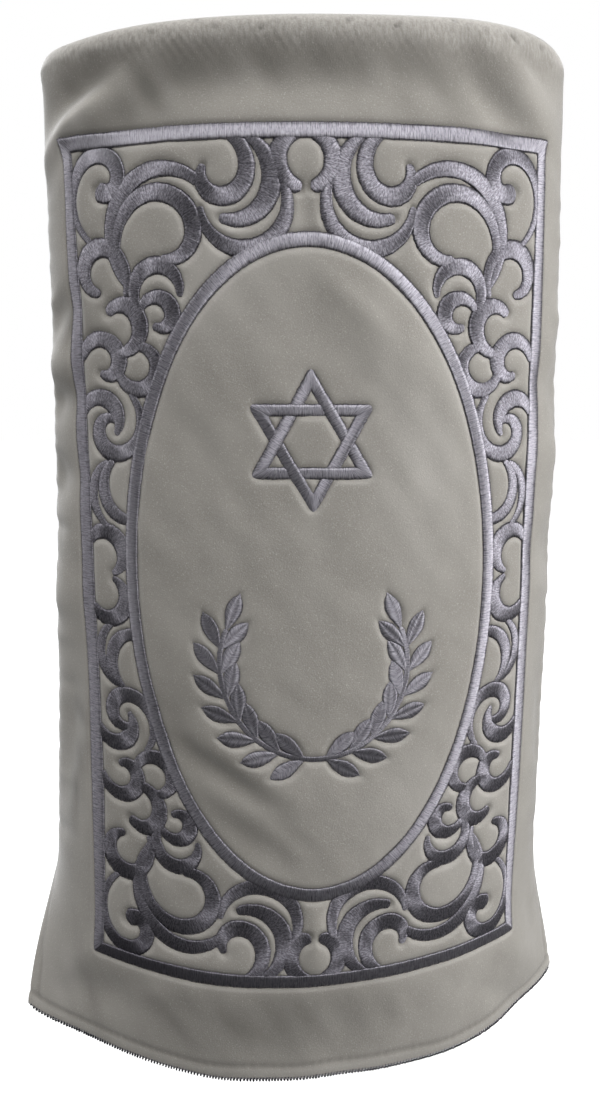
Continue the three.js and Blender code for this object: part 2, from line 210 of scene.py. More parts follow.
# The main folds of each panel. The columns are s, z, lean, along, across,
# high: the middle of a soft ridge, or of a trough where high is below zero,
# how its length leans from the vertical towards +s in degrees, and its sizes.
folds = {
    "front": [
        (-24, -22, 90, 104, 16, -5.5),
        (-138, -21, 68, 36, 11, -4.5),
        (-136, -36, 66, 34, 10, 4.5),
        (-112, -55, 62, 42, 15, -2.5),
        (114, -34, -50, 32, 12, -4),
        (137, -27, -52, 32, 12, 4),
        (46, -171, -45, 50, 21, 3),
        (6, -160, -45, 34, 20, -2),
        (-80, -225, -20, 40, 22, -2),
        (-60, -440, -58, 34, 9, -4),
        (-46, -426, -58, 40, 12, 2.5),
        (-40, -483, -57, 34, 12, -3),
        (-88, -406, -20, 28, 13, -2.5),
        (-120, -470, 0, 110, 50, -3),
        (-176, -152, 72, 22, 13, -4),
        (-180, -184, 76, 22, 13, 3),
        (-180, -206, 80, 22, 12, -4),
        (-184, -256, 80, 24, 14, -4),
        (-186, -336, 74, 24, 18, 3),
        (-182, -430, 12, 56, 14, -4),
        (182, -196, -75, 24, 13, -3.5),
        (183, -240, -70, 24, 16, 2.5),
        (186, -305, -75, 26, 16, -3),
        (188, -420, -10, 60, 15, -3),
        (3, -545, 0, 26, 15, 2),
        (-34, -584, 88, 96, 30, 3),
        (-150, -612, 72, 44, 15, -3),
        (168, -606, -36, 40, 17, 3.5),
        (-62, -628, 0, 36, 24, 2),
        (20, -632, 0, 36, 20, -2),
        (96, -626, 8, 40, 22, 2),
        (132, -650, 0, 60, 34, 2.5),
    ],
    "back": [
        (0, -14, 90, 130, 17, -3.5),
        (-110, -40, 55, 50, 20, 3.5),
        (118, -46, -50, 56, 20, 3.5),
        (-40, -250, 8, 150, 34, 4),
        (34, -300, -6, 170, 30, -4),
        (96, -330, -4, 150, 30, 3.5),
        (-110, -380, 6, 130, 30, -3.5),
        (-62, -560, 0, 90, 36, 4.5),
        (10, -590, 0, 90, 34, -4),
        (84, -580, 0, 90, 36, 4.5),
        (160, -560, 0, 80, 26, -4),
    ],
}

# Finer creases, with the same columns.
creases = {
    "front": [
        (-2, -92, 0, 20, 5, -1.2),
        (-12, -86, 8, 20, 7, 0.8),
        (9, -86, -8, 20, 7, 0.8),
        (-150, -40, 62, 40, 6, 1.4),
        (-160, -58, 50, 30, 7, -0.9),
        (150, -50, -60, 34, 7, -0.9),
        (128, -12, -62, 26, 6, 1.0),
        (-86, -30, 60, 40, 9, -0.6),
        (64, -34, -64, 44, 9, 0.6),
        (28, -148, -48, 24, 7, 0.8),
        (60, -196, -42, 30, 8, -0.7),
        (-16, -478, -50, 26, 7, -0.9),
        (-46, -436, -58, 34, 8, 0.8),
        (-100, -400, -62, 24, 8, -0.7),
        (34, -470, 40, 30, 9, 0.6),
        (-178, -140, 60, 16, 6, 1.0),
        (-184, -204, 82, 16, 5, -1.0),
        (-188, -290, 84, 18, 6, -1.0),
        (-190, -366, 70, 18, 7, 1.0),
        (-192, -400, 80, 16, 5, -1.0),
        (-196, -470, 76, 18, 6, 1.0),
        (-198, -510, 78, 18, 6, -1.2),
        (184, -152, -72, 16, 6, 0.9),
        (188, -268, -82, 18, 5, 0.9),
        (190, -344, -78, 18, 6, -0.9),
        (194, -470, -80, 18, 6, 0.8),
        (196, -520, -76, 18, 6, -0.9),
        (0, -548, 0, 18, 5, 1.0),
        (-20, -540, 24, 18, 6, -0.8),
        (24, -540, -24, 18, 6, -0.8),
        (-112, -600, 68, 40, 9, 0.9),
        (-168, -590, 40, 40, 9, 1.1),
        (148, -630, -52, 30, 8, -1.0),
        (186, -580, -20, 36, 8, -1.2),
        (-30, -612, 4, 26, 12, -0.7),
        (60, -606, -6, 26, 12, 0.6),
    ],
    "back": [
        (-60, -60, 40, 40, 9, 0.8),
        (60, -70, -40, 40, 9, -0.8),
        (-180, -220, 78, 18, 6, -1.0),
        (-184, -300, 80, 18, 6, 0.9),
        (184, -180, -78, 18, 6, -1.0),
        (188, -330, -80, 18, 6, 0.9),
        (-20, -420, 4, 90, 14, 0.9),
        (60, -450, -4, 90, 14, -0.9),
        (130, -200, -6, 80, 14, 0.8),
        (-150, -500, 6, 60, 14, 0.8),
    ],
}

# Painted shade and light on each panel: patches painted darker where shade falls, as in the hollow under the
# rim, or lighter.
# The columns are as above, but the last is how much darker it is painted there, or lighter where it is below
# zero.
paintedPileShading = {
    "front": [
        (-92, -30, 72, 46, 17, 0.5),
        (10, -15, 90, 84, 14, 0.5),
        (-138, -18, 75, 26, 11, 0.35),
        (-112, -20, 78, 40, 12, 0.22),
        (-138, -37, 66, 34, 8, -0.5),
        (134, 0, 90, 34, 9, 0.22),
        (86, -30, -50, 28, 13, 0.35),
        (-88, -424, -40, 44, 22, 0.35),
        (-40, -484, -57, 40, 14, 0.25),
        (-20, -605, 85, 90, 26, 0.4),
        (-142, -158, 30, 26, 22, 0.35),
        (-168, -438, 10, 34, 18, 0.3),
        (-50, -125, 40, 60, 34, -0.3),
        (70, -235, -10, 60, 36, -0.35),
        (80, -480, -20, 60, 40, -0.25),
        (-130, -245, 0, 40, 24, -0.25),
        (-198, -45, 20, 40, 10, -0.3),
        (-164, -160, 20, 13, 7, 0.45),
        (-167, -178, 60, 12, 8, -0.25),
        (-161, -196, 20, 15, 8, 0.4),
        (-176, -415, 60, 11, 9, 0.35),
        (-172, -430, 70, 14, 7, -0.25),
        (-178, -470, 11, 34, 7, 0.45),
        (-168, -482, 8, 40, 7, -0.3),
        (-184, -618, 20, 24, 14, -0.4),
        (-166, -606, -20, 34, 7, 0.35),
        (-160, -52, 40, 24, 14, -0.4),
        (-108, -607, -55, 34, 8, 0.25),
        (-84, -612, -55, 30, 8, -0.15),
        (-30, -621, -55, 30, 7, 0.25),
    ],
    "back": [
        (-70, -60, 75, 60, 20, 0.35),
        (60, -260, -12, 110, 40, -0.25),
        (-90, -400, 10, 120, 36, 0.3),
        (40, -600, 88, 90, 24, 0.35),
    ],
}

# Painted shade and light on the threads: where they are painted darker, or lighter where the last column is
# below zero.
paintedThreadShading = [
    (-155, -210, 0, 190, 8, 0.5),
    (-110, -58, 90, 70, 8, -0.45),
    (-118, -300, 0, 130, 9, -0.35),
    (-90, -575, 88, 100, 14, 0.45),
    (-125, -545, 0, 60, 44, 0.25),
    (152, -200, 0, 160, 8, 0.12),
    (130, -140, 0, 110, 40, 0.12),
]

# Where the front's hem hangs higher than the even curve. The columns are the middle, the reach and the rise.
hemRises = [(-150, 62, 3.6), (188, 30, 3.0)]


def sectionAt(z, column):
    # the parabola through the top, middle and hem values of a column
    k = (cloth["top"] - z) / (cloth["top"] - cloth["hem"])
    top, middle, bottom = sections[column]
    return top * (1 - k) * (1 - 2 * k) + middle * 4 * k * (1 - k) + bottom * k * (2 * k - 1)


def angleAt(s, wide, deep):
    # the angle round an ellipse after a distance s, summed
    # in midpoint steps of arc over the speed of the point
    steps = cloth["arcSteps"]
    angle = np.zeros_like(s)
    for _ in range(steps):
        half = angle + s / steps / 2 / np.hypot(wide * np.cos(angle), deep * np.sin(angle))
        angle = angle + s / steps / np.hypot(wide * np.cos(half), deep * np.sin(half))
    return angle


def quarterLength(z):
    # a quarter of an ellipse's outline: pi / 4 (wide + deep) (1 + 3f / (10 +
    # sqrt(4 - 3f))), where f is the square of their difference over their sum
    wide, deep = sectionAt(z, "wide"), sectionAt(z, "deep")
    flatness = ((wide - deep) / (wide + deep)) ** 2
    return math.pi * (wide + deep) / 4 * (1 + 3 * flatness / (10 + np.sqrt(4 - 3 * flatness)))


def smoothStep(x):
    # 0 up to 0, 1 from 1 on, and 3x^2 - 2x^3 between
    x = np.clip(x, 0, 1)
    return x * x * (3 - 2 * x)


def ventShare(z):
    # 0 at the vents' top and above it, 1 at the hem
    return np.clip((cloth["ventTop"] - z) / (cloth["ventTop"] - cloth["hem"]), 0, 1)


def softRidge(s, z, row):
    # a hill that falls off as exp(-x^2 - y^2), with x across the ridge and y along it
    middleS, middleZ, lean, along, across, high = row
    cos, sin = math.cos(math.radians(lean)), math.sin(math.radians(lean))
    x = ((s - middleS) * cos - (z - middleZ) * sin) / across
    y = ((s - middleS) * sin + (z - middleZ) * cos) / along
    return high * np.exp(-x * x - y * y)


def foldHeight(side, s, z):
    # the main folds die out at the side seam above the vents, the finer creases run up to it
    main = sum(softRidge(s, z, row) for row in folds[side])
    fine = sum(softRidge(s, z, row) for row in creases[side])
    toSeam = quarterLength(z) - np.abs(s)
    return main * np.maximum(smoothStep(toSeam / cloth["seamFade"]), ventShare(z)) + fine


def cornerOut(side, s, z):
    # a vent's corner swings out by a power of the share of the vent, and by exp(-x^2) away from the edge
    left, right = vents[side][-1], vents[side][1]
    toEdge = (quarterLength(z) - np.abs(s)) / np.where(s < 0, left["reach"], right["reach"])
    fullSwing = np.where(s < 0, left["out"], right["out"])
    return fullSwing * ventShare(z) ** cornerSwing["power"] * np.exp(-toEdge * toEdge)


def clothPoint(side, s, z, lift):
    # an ellipse's point at s, moved out along its normal by the lift, the folds
    # and the swing of the vent's corner, then turned about Z, shifted along X,
    # tilted a little across the front and raised by the square of the swing
    s, z, lift = np.broadcast_arrays(*(np.asarray(value, float) for value in (s, z, lift)))
    wide, deep = sectionAt(z, "wide"), sectionAt(z, "deep")
    angle = angleAt(s, wide, deep)
    normalX, normalY = deep * np.sin(angle), -wide * np.cos(angle)
    length = np.hypot(normalX, normalY)
    swing = cornerOut(side, s, z)
    out = lift + foldHeight(side, s, z) + swing
    flip = 1 if side == "front" else -1
    x = flip * (wide * np.sin(angle) + normalX / length * out)
    y = flip * (-deep * np.cos(angle) + normalY / length * out)
    turn = np.radians(sectionAt(z, "turn"))
    turnedX = x * np.cos(turn) - y * np.sin(turn) + sectionAt(z, "aside")
    turnedY = x * np.sin(turn) + y * np.cos(turn)
    down = (cloth["top"] - z) / (cloth["top"] - cloth["hem"])
    rise = cornerSwing["rise"] * swing * swing
    if side == "front":
        uneven = sum(high * np.exp(-(((s - middle) / reach) ** 2)) for middle, reach, high in hemRises)
        rise = rise + ventShare(z) ** 2 * uneven
    return np.stack([turnedX, turnedY, z - cloth["askew"] * turnedX * down + rise], -1)


def makePiece(name, points, faces, material, uv=None, attributes=None):
    # points in millimetres, and faces as a list of whole-number arrays with a row
    # of corners for every face; uv and the attributes have a row for every point
    mesh = bpy.data.meshes.new(name)
    corners = np.concatenate([block.ravel() for block in faces])
    sizes = np.concatenate([np.full(len(block), block.shape[1]) for block in faces])
    mesh.vertices.add(len(points))
    mesh.vertices.foreach_set("co", (points * mm).astype(np.float32).ravel())
    mesh.loops.add(len(corners))
    mesh.loops.foreach_set("vertex_index", corners.astype(np.int32))
    mesh.polygons.add(len(sizes))
    mesh.polygons.foreach_set("loop_start", (np.cumsum(sizes) - sizes).astype(np.int32))
    mesh.polygons.foreach_set("use_smooth", np.ones(len(sizes), bool))
    mesh.update(calc_edges=True)
    for attribute, values in (attributes or {}).items():
        layer = mesh.attributes.new(attribute, "FLOAT", "POINT")
        layer.data.foreach_set("value", values.astype(np.float32).ravel())
    if uv is not None:
        layer = mesh.uv_layers.new(name="thread")
        layer.data.foreach_set("uv", uv[corners].astype(np.float32).ravel())
    mesh.validate()
    mesh.materials.append(material)
    piece = bpy.data.objects.new(name, mesh)
    bpy.context.scene.collection.objects.link(piece)
    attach(piece, "root")
    return piece


def cellQuads(at):
    # the four corners of every cell of a grid of point numbers
    return np.stack([at[:-1, :-1], at[1:, :-1], at[1:, 1:], at[:-1, 1:]], -1).reshape(-1, 4)


def ringQuads(at):
    # the walls between each ring of point numbers and the next one
    nextAt = np.roll(at, -1, 1)
    return np.stack([at[:-1], nextAt[:-1], nextAt[1:], at[1:]], -1).reshape(-1, 4)


# The looks of the velvet, from its painted shade and painted patch shade to the tips of its pile, whose
# colour also serves as painted light, and of the silver thread.
velvetLook = {
    "paintedShade": (0.110, 0.105, 0.094),
    "paintedPatchShade": (0.154, 0.146, 0.130),
    "shade": (0.256, 0.240, 0.214),
    "pile": (0.394, 0.374, 0.342),
    "tip": (0.572, 0.548, 0.514),
    "roughness": 0.95,
    "shine": 0.12,
    "sheen": 0.85,
    "sheenRoughness": 0.36,
    "brushed": (1.0, 1.0, 0.34),
}
threadLook = {
    "deep": (0.076, 0.070, 0.088),
    "body": (0.350, 0.335, 0.382),
    "bright": (0.525, 0.510, 0.556),
    "metallic": 0.84,
    "roughness": 0.54,
    "anisotropic": 0.88,
    "strands": (1.0, 0.07, 1.0),
    "groups": (1.0, 0.14, 1.0),
    "flecks": (1.0, 0.26, 1.0),
    "grains": (1.0, 0.45, 1.0),
}


def addNode(tree, kind, settings=None, **inputs):
    # a node with its settings and its sockets, each a constant or another node's output
    node = tree.nodes.new(kind)
    for name, value in (settings or {}).items():
        setattr(node, name, value)
    for name, value in inputs.items():
        socket = node.inputs[name.replace("_", " ")]
        if isinstance(value, bpy.types.NodeSocket):
            tree.links.new(value, socket)
        else:
            socket.default_value = value
    return node


def startMaterial(name):
    # a new material, its nodes and its shader
    material = bpy.data.materials.new(name)
    material.use_nodes = True
    return material, material.node_tree, material.node_tree.nodes["Principled BSDF"]


def drawnOut(tree, place, scale):
    # the place with each axis scaled, so that a noise there is drawn out along an axis scaled below 1
    return addNode(tree, "ShaderNodeMapping", Vector=place, Scale=scale).outputs[0]


def noise(tree, place, scale, detail=2.0, roughness=0.5):
    # an uneven value about 0.5, with scale patches to a metre
    node = addNode(tree, "ShaderNodeTexNoise", Vector=place, Scale=scale, Detail=detail, Roughness=roughness)
    return node.outputs["Fac"]


def ramp(tree, value, start, end):
    # 0 at the start and before it, 1 at the end and past it, where the end may also be the lower one
    node = addNode(tree, "ShaderNodeMapRange", {"clamp": True}, Value=value)
    node.inputs["From Min"].default_value = start
    node.inputs["From Max"].default_value = end
    return node.outputs[0]


def product(tree, first, second):
    # one node's output times another's
    node = addNode(tree, "ShaderNodeMath", {"operation": "MULTIPLY"})
    tree.links.new(first, node.inputs[0])
    tree.links.new(second, node.inputs[1])
    return node.outputs[0]


def blend(tree, share, first, second):
    # a mix of two colours, each a constant or another node's output
    node = addNode(tree, "ShaderNodeMix", {"data_type": "RGBA"}, Factor=share)
    for socket, value in ((node.inputs[6], first), (node.inputs[7], second)):
        if isinstance(value, bpy.types.NodeSocket):
            tree.links.new(value, socket)
        else:
            socket.default_value = (*value, 1)
    return node.outputs[2]


def marksOf(tree, names):
    # what the points of a piece hold under these names
    return {
        name: addNode(tree, "ShaderNodeAttribute", {"attribute_name": name}).outputs["Fac"] for name in names
    }


def bump(tree, height, strength, distance):
    # relief in the shading alone, where a height of 1 stands as far out as the distance in metres
    return addNode(tree, "ShaderNodeBump", Height=height, Strength=strength, Distance=distance)


def layBumps(tree, shader, fine, broad):
    # the broad bump takes the fine one's normals, and the shader takes the broad one's
    tree.links.new(fine.outputs[0], broad.inputs["Normal"])
    tree.links.new(broad.outputs[0], shader.inputs["Normal"])


def velvetMaterial():
    # short pile: soft patches where it lies another way, fine speckle and bright fibre tips; painted light
    # below strokes, on the rim's top and the hem's band, painted shade in patches, streaks where it was
    # brushed, and painted shade in the stitched grooves
    material, tree, shader = startMaterial("grey_velvet")
    place = addNode(tree, "ShaderNodeTexCoord").outputs["Object"]
    brushed = drawnOut(tree, place, velvetLook["brushed"])
    marks = marksOf(tree, ("paintedShade", "open", "brush", "lieAndPaintedShade"))
    patches = ramp(tree, noise(tree, place, 30.0, detail=3.0), 0.36, 0.66)
    speckle = ramp(tree, noise(tree, place, 1300.0, roughness=0.6), 0.34, 0.66)
    tips = ramp(tree, noise(tree, place, 1300.0, detail=1.0), 0.665, 0.72)
    streaks = ramp(tree, noise(tree, brushed, 680.0, roughness=0.6), 0.36, 0.64)
    colour = blend(tree, ramp(tree, patches, -1.1, 1.5), velvetLook["shade"], velvetLook["pile"])
    colour = blend(tree, ramp(tree, speckle, 0.0, 1.35), colour, velvetLook["pile"])
    colour = blend(tree, ramp(tree, tips, 0.0, 1.4), colour, velvetLook["tip"])
    # painted light, in the colour of the pile's tips
    colour = blend(tree, marks["open"], colour, velvetLook["tip"])
    # painted shade in patches
    colour = blend(tree, marks["lieAndPaintedShade"], colour, velvetLook["paintedPatchShade"])
    colour = blend(tree, product(tree, marks["brush"], streaks), colour, velvetLook["shade"])
    # painted shade in the stitched grooves, the seams, the hem's stitches and the dimples
    colour = blend(tree, marks["paintedShade"], colour, velvetLook["paintedShade"])
    tree.links.new(colour, shader.inputs["Base Color"])
    shader.inputs["Roughness"].default_value = velvetLook["roughness"]
    shader.inputs["Specular IOR Level"].default_value = velvetLook["shine"]
    shader.inputs["Sheen Weight"].default_value = velvetLook["sheen"]
    shader.inputs["Sheen Roughness"].default_value = velvetLook["sheenRoughness"]
    pile = noise(tree, place, 1000.0, detail=3.0, roughness=0.65)
    lieAndPaintedShade = noise(tree, place, 90.0)
    fine = bump(tree, pile, strength=0.36, distance=0.0005)
    broad = bump(tree, lieAndPaintedShade, strength=0.10, distance=0.002)
    layBumps(tree, shader, fine, broad)
    return material


def threadMaterial():
    # satin stitch: u runs along a stroke and v across it, so the threads are streaks
    # of one u, and the shine is drawn out along the stroke, as it is off a row of
    # parallel threads; filled strokes have shorter stitches, which leave dark grains
    material, tree, shader = startMaterial("silver_thread")
    place = addNode(tree, "ShaderNodeUVMap", {"uv_map": "thread"}).outputs[0]
    strand = noise(tree, drawnOut(tree, place, threadLook["strands"]), 1500.0, roughness=0.6)
    bundle = noise(tree, drawnOut(tree, place, threadLook["groups"]), 720.0, roughness=0.6)
    fleck = noise(tree, drawnOut(tree, place, threadLook["flecks"]), 1700.0, detail=1.0)
    grain = noise(tree, drawnOut(tree, place, threadLook["grains"]), 1250.0, roughness=0.6)
    marks = marksOf(tree, ("paintedShade", "dark", "light", "filled"))
    colour = blend(tree, ramp(tree, bundle, 0.20, 0.80), threadLook["body"], threadLook["bright"])
    colour = blend(tree, ramp(tree, strand, 0.57, 0.20), colour, threadLook["deep"])
    colour = blend(tree, ramp(tree, fleck, 0.54, 0.92), colour, threadLook["bright"])
    colour = blend(tree, ramp(tree, fleck, 0.46, 0.04), colour, threadLook["deep"])
    grains = product(tree, ramp(tree, grain, 0.62, 0.34), marks["filled"])
    colour = blend(tree, grains, colour, threadLook["deep"])
    # painted light and painted shade where the table paints the threads lighter or darker
    colour = blend(tree, marks["light"], colour, threadLook["bright"])
    colour = blend(tree, marks["dark"], colour, threadLook["deep"])
    # painted shade along the threads' edges
    colour = blend(tree, marks["paintedShade"], colour, threadLook["deep"])
    tree.links.new(colour, shader.inputs["Base Color"])
    shader.inputs["Metallic"].default_value = threadLook["metallic"]
    shader.inputs["Roughness"].default_value = threadLook["roughness"]
    shader.inputs["Anisotropic"].default_value = threadLook["anisotropic"]
    tangent = addNode(tree, "ShaderNodeTangent", {"direction_type": "UV_MAP", "uv_map": "thread"})
    tree.links.new(tangent.outputs[0], shader.inputs["Tangent"])
    fine = bump(tree, strand, strength=0.40, distance=0.0004)
    broad = bump(tree, bundle, strength=0.14, distance=0.0008)
    layBumps(tree, shader, fine, broad)
    return material


velvet = velvetMaterial()
thread = threadMaterial()
print("materials")

# Scrollwork, for one quarter that the other quarters mirror. Each stroke runs
# round its own middle (s, v) from an angle to another in degrees, while its radius
# eases from the first to the second. The columns are s, v, radius and angle at the
# start, radius and angle at the end, and the widths at the start, middle and end.
scrollStrokes = [
    (-124, 239, 36, 247, 6, -112, 3.5, 9.5, 10.5),
    (-83, 213, 45, 233, 31, 53, 3.5, 9.5, 6),
    (-84, 208, 38, 212, 14.5, -96, 5, 10, 6),
    (-91, 176, 17, 216, 14, -8, 5, 9.5, 3.5),
    (-90.5, 161.5, 14, 170, 7, -115, 4, 9.5, 4.5),
    (-132.5, 186.5, 23, -30, 11, 262, 3.5, 11, 5),
    (-117.5, 157, 18, -104, 11, 132, 5, 10.5, 6.5),
    (-130, 133.5, 20, 165, 7.5, -112, 7, 10.5, 5),
    (-106.5, 131.5, 15.5, -190, 12, 80, 3.5, 9.5, 5.5),
    (-129, 93, 27, 52, 7, -300, 3.5, 10, 4),
    (-135, 98, 17, 155, 12.5, -32, 7, 10.5, 3.5),
    (-52, 240, 24, 68, 9, -205, 7, 10, 4.5),
    (-43, 236, 27, 75, 21, -105, 4, 10.5, 6),
    (-37, 224.5, 26, 18, 25.5, -172, 5, 9.5, 4),
    (-1, 247, 16, 112, 14.5, 249, 8, 9.5, 7.5),
    (-122, 53, 22, 122, 25, 232, 4, 7, 4),
    (-118, 54, 22, 122, 17, 262, 4, 8.5, 7),
    (-137, 14, 15.5, 142, 13, -64, 7, 10.5, 4),
]

# A stroke's round ends: the steps past each end, and the first and last angle of their turn in degrees.
strokeEnds = {"steps": 7, "first": 10, "last": 84}

# The frame and the oval: half their sizes outside, how the frame's
# upright bars swell, and how far both lie over the scrollwork.
border = {
    "frameWide": 158.0,
    "frameHigh": 267.0,
    "frameSwell": 0.28,
    "frameOver": 0.3,
    "ovalWide": 121.6,
    "ovalHigh": 208.0,
    "ovalOver": 0.25,
}

# How far from a bar's corner its threads lean over, and how far from its ends it goes on swelling.
mitre = {"fan": 12.0, "swellReach": 120.0}
star = {"v": 88.0, "radius": 44.0, "barWide": 6.4, "weave": 0.35}

# The wreath: its stem's ring from foot to tip, and its pairs of leaves, with angles in degrees.
wreath = {"v": -52.0, "radius": 60.0, "foot": -104.0, "tip": 22.0, "stemWide": 3.0}
leaf = {
    "pairs": 7,
    "first": -84.0,
    "last": 10.0,
    "long": 26.0,
    "wide": 9.0,
    "least": 0.35,
    "splay": 35.0,
    "lean": 0.55,
}

# How many points a line has before it is cut into even steps, and the fewest steps afterwards.
linePoints = {"scroll": 80, "oval": 400, "stem": 90, "vein": 40, "fewest": 8}


def course(points, half, closed=False):
    # the middle line of a stroke at even steps: its points, half-widths, the way across and the distance run
    ahead = np.roll(points, -1, 0) - points if closed else np.diff(points, axis=0)
    run = np.concatenate([[0], np.cumsum(np.hypot(*ahead.T))])
    source = np.concatenate([points, points[:1]]) if closed else points
    widths = np.concatenate([half, half[:1]]) if closed else half
    count = max(linePoints["fewest"], int(run[-1] / embroidery["step"]))
    at = np.linspace(0, run[-1], count + 1)[: count if closed else count + 1]
    place = np.stack([np.interp(at, run, source[:, k]) for k in range(2)], -1)
    forward = np.roll(place, -1, 0) - np.roll(place, 1, 0) if closed else np.gradient(place, axis=0)
    forward = forward / np.hypot(*forward.T)[:, None]
    across = np.stack([-forward[:, 1], forward[:, 0]], -1)
    half = np.interp(at, run, widths)
    return {"place": place, "half": half, "across": across, "run": at, "closed": closed}


def roundEnds(line):
    # more steps past each end, where the half-width falls as a cosine while the middle moves on as a sine
    count = strokeEnds["steps"]
    beta = np.radians(np.linspace(strokeEnds["first"], strokeEnds["last"], count))
    ends = []
    for end, way in ((0, -1), (-1, 1)):
        across, half = line["across"][end], line["half"][end]
        forward = np.array([across[1], -across[0]]) * way
        ends.append((line["place"][end] + forward * half * np.sin(beta)[:, None], half * np.cos(beta)))
    place = np.concatenate([ends[0][0][::-1], line["place"], ends[1][0]])
    half = np.concatenate([ends[0][1][::-1], line["half"], ends[1][1]])
    across = np.concatenate([[line["across"][0]] * count, line["across"], [line["across"][-1]] * count])
    run = np.concatenate([[0], np.cumsum(np.hypot(*np.diff(place, axis=0).T))])
    return {"place": place, "half": half, "across": across, "run": run, "closed": False}


def scrollCourse(row, mirrorS, mirrorV):
    # the radius eases as the square of what is left, and the width swells as half a sine wave
    s, v, startRadius, startAngle, endRadius, endAngle, startWide, middleWide, endWide = row
    u = np.linspace(0, 1, linePoints["scroll"])
    angle = np.radians(startAngle + (endAngle - startAngle) * u)
    radius = endRadius + (startRadius - endRadius) * (1 - u) ** 2
    end = np.where(u < 0.5, startWide, endWide)
    wide = end + (middleWide - end) * np.sin(math.pi * u)
    points = np.stack([mirrorS * (s + radius * np.cos(angle)), mirrorV * (v + radius * np.sin(angle))], -1)
    return roundEnds(course(points, wide / 2))


def cornerCourse(corners, half, swell=0.0):
    # straight bars round a polygon; near a corner the threads lean over to
    # lie along the mitre, and upright bars swell smoothly from their ends
    parts = []
    for i, start in enumerate(corners):
        finish = corners[(i + 1) % len(corners)]
        before, after = corners[i - 1], corners[(i + 2) % len(corners)]
        length = np.hypot(*(finish - start))
        forward = (finish - start) / length
        at = np.arange(0, length, embroidery["step"])
        lean = np.zeros_like(at)
        for past, distance, way in ((before - start, at, 1), (after - finish, length - at, -1)):
            inner = math.acos(np.dot(past, forward * way) / np.hypot(*past))
            share = smoothStep(1 - distance / mitre["fan"])
            lean = lean + way * share / math.tan(inner / 2)
        left = np.array([-forward[1], forward[0]])
        toEnd = length / 2 - abs(at - length / 2)
        parts.append({
            "place": start + forward * at[:, None],
            "half": half * (1 + swell * abs(forward[1]) * smoothStep(toEnd / mitre["swellReach"])),
            "across": left + forward * lean[:, None],
            "alongSide": at / length * 2 - 1,
        })
    joined = {key: np.concatenate([part[key] for part in parts]) for key in parts[0]}
    step = np.hypot(*(joined["place"] - np.roll(joined["place"], 1, 0)).T)
    return {**joined, "run": np.cumsum(step), "closed": True}


def polygonCorners(count, radius, v, first):
    # even steps round a circle, from the first angle in degrees
    angle = np.radians(first) + 2 * math.pi * np.arange(count) / count
    return np.stack([radius * np.cos(angle), v + radius * np.sin(angle)], -1)


def leafCourse(seatS, seatV, heading):
    # a straight vein, and a half-width of half a sine wave from base to tip
    u = np.linspace(0, 1, linePoints["vein"])
    way = np.array([math.cos(heading), math.sin(heading)])
    vein = np.array([seatS, seatV]) + way * (leaf["long"] * u)[:, None]
    line = course(vein, leaf["wide"] / 2 * np.sin(math.pi * u))
    line["half"] = np.maximum(line["half"], leaf["least"])
    return {**line, "chevron": leaf["lean"] * way}


# The stitched relief, above the cloth's smooth form: a crown over padding, threads that differ a little
# from row to row, and edges that the needle draws down into the pile. A leaf has a vein down its middle,
# and a star's bar lies over the other triangle at one crossing and dips under it at the next. veinShare
# and shadeShare are parts of a stroke's half-width, and crossing and crossingShare of a bar's half-length.
# shade, upperShade and shadeShare give the painted shade along a stroke's edges, darker on its upper side.
stitch = {
    "edge": -0.5,
    "crown": 0.5,
    "fullHalf": 3.2,
    "under": -1.9,
    "underShare": 0.6,
    "strand": 0.12,
    "ragged": 0.36,
    "spread": 1.17,
    "across": 8,
    "vein": 0.30,
    "veinShare": 0.16,
    "crossing": 1 / 3,
    "crossingShare": 0.16,
    "dip": 0.6,
    "shade": 0.12,
    "upperShade": 0.6,
    "shadeShare": 0.8,
    "apart": 900,
    "mostPaintedThreadShade": 0.8,
}


def stitchedBand(line, draw):
    # one stroke: over each step a row of points, crowned as
    # 1 - q^4 of the way across, and two points below it
    place, half, across = line["place"], line["half"] * stitch["spread"], line["across"]
    count = len(place)
    q = np.linspace(1, -1, stitch["across"] + 1)
    strand = draw.random(count)
    ragged = (draw.random((count, 2)) - 0.5) * 2 * stitch["ragged"]
    reach = half[:, None] * q + np.where(q > 0, ragged[:, :1], -ragged[:, 1:]) * np.abs(q) ** 3
    rise = np.minimum(1, half / stitch["fullHalf"])[:, None]
    crown = 1 - q**4
    lift = stitch["edge"] + stitch["crown"] * crown * rise
    lift = lift + stitch["strand"] * (strand[:, None] - 0.5) * crown
    if "chevron" in line:
        lift = lift - stitch["vein"] * np.exp(-((q / stitch["veinShare"]) ** 2)) * rise
    if "weave" in line:
        past, before = (line["alongSide"][:, None] + way * stitch["crossing"] for way in (-1, 1))
        over, under = (np.exp(-((x / stitch["crossingShare"]) ** 2)) for x in (past, before))
        lift = lift + line["weave"] * (over - stitch["dip"] * under)
    lift = lift + line.get("over", 0)
    lift = np.concatenate([lift, np.full((count, 2), stitch["under"])], 1)
    foot = np.array([-stitch["underShare"], stitch["underShare"]])
    reach = np.concatenate([reach, half[:, None] * foot], 1)
    flat = place[:, None, :] + across[:, None, :] * reach[:, :, None]
    if "chevron" in line:
        flat = flat + line["chevron"] * np.abs(reach)[:, :, None]
    run = np.broadcast_to(line["run"][:, None], reach.shape) + draw.random() * stitch["apart"]
    # painted shade along the edges, darker on the upper side
    upper = (across[:, 1:] * q).clip(0, 1)
    edge = smoothStep((np.abs(q) - stitch["shadeShare"]) / (1 - stitch["shadeShare"]))
    paintedShade = edge * (stitch["shade"] + stitch["upperShade"] * upper)
    return {
        "points": np.stack([flat[..., 0], flat[..., 1], lift], -1),
        "uv": np.stack([run, reach], -1) * mm,
        "paintedShade": np.concatenate([paintedShade, np.ones((count, 2))], 1),
    }


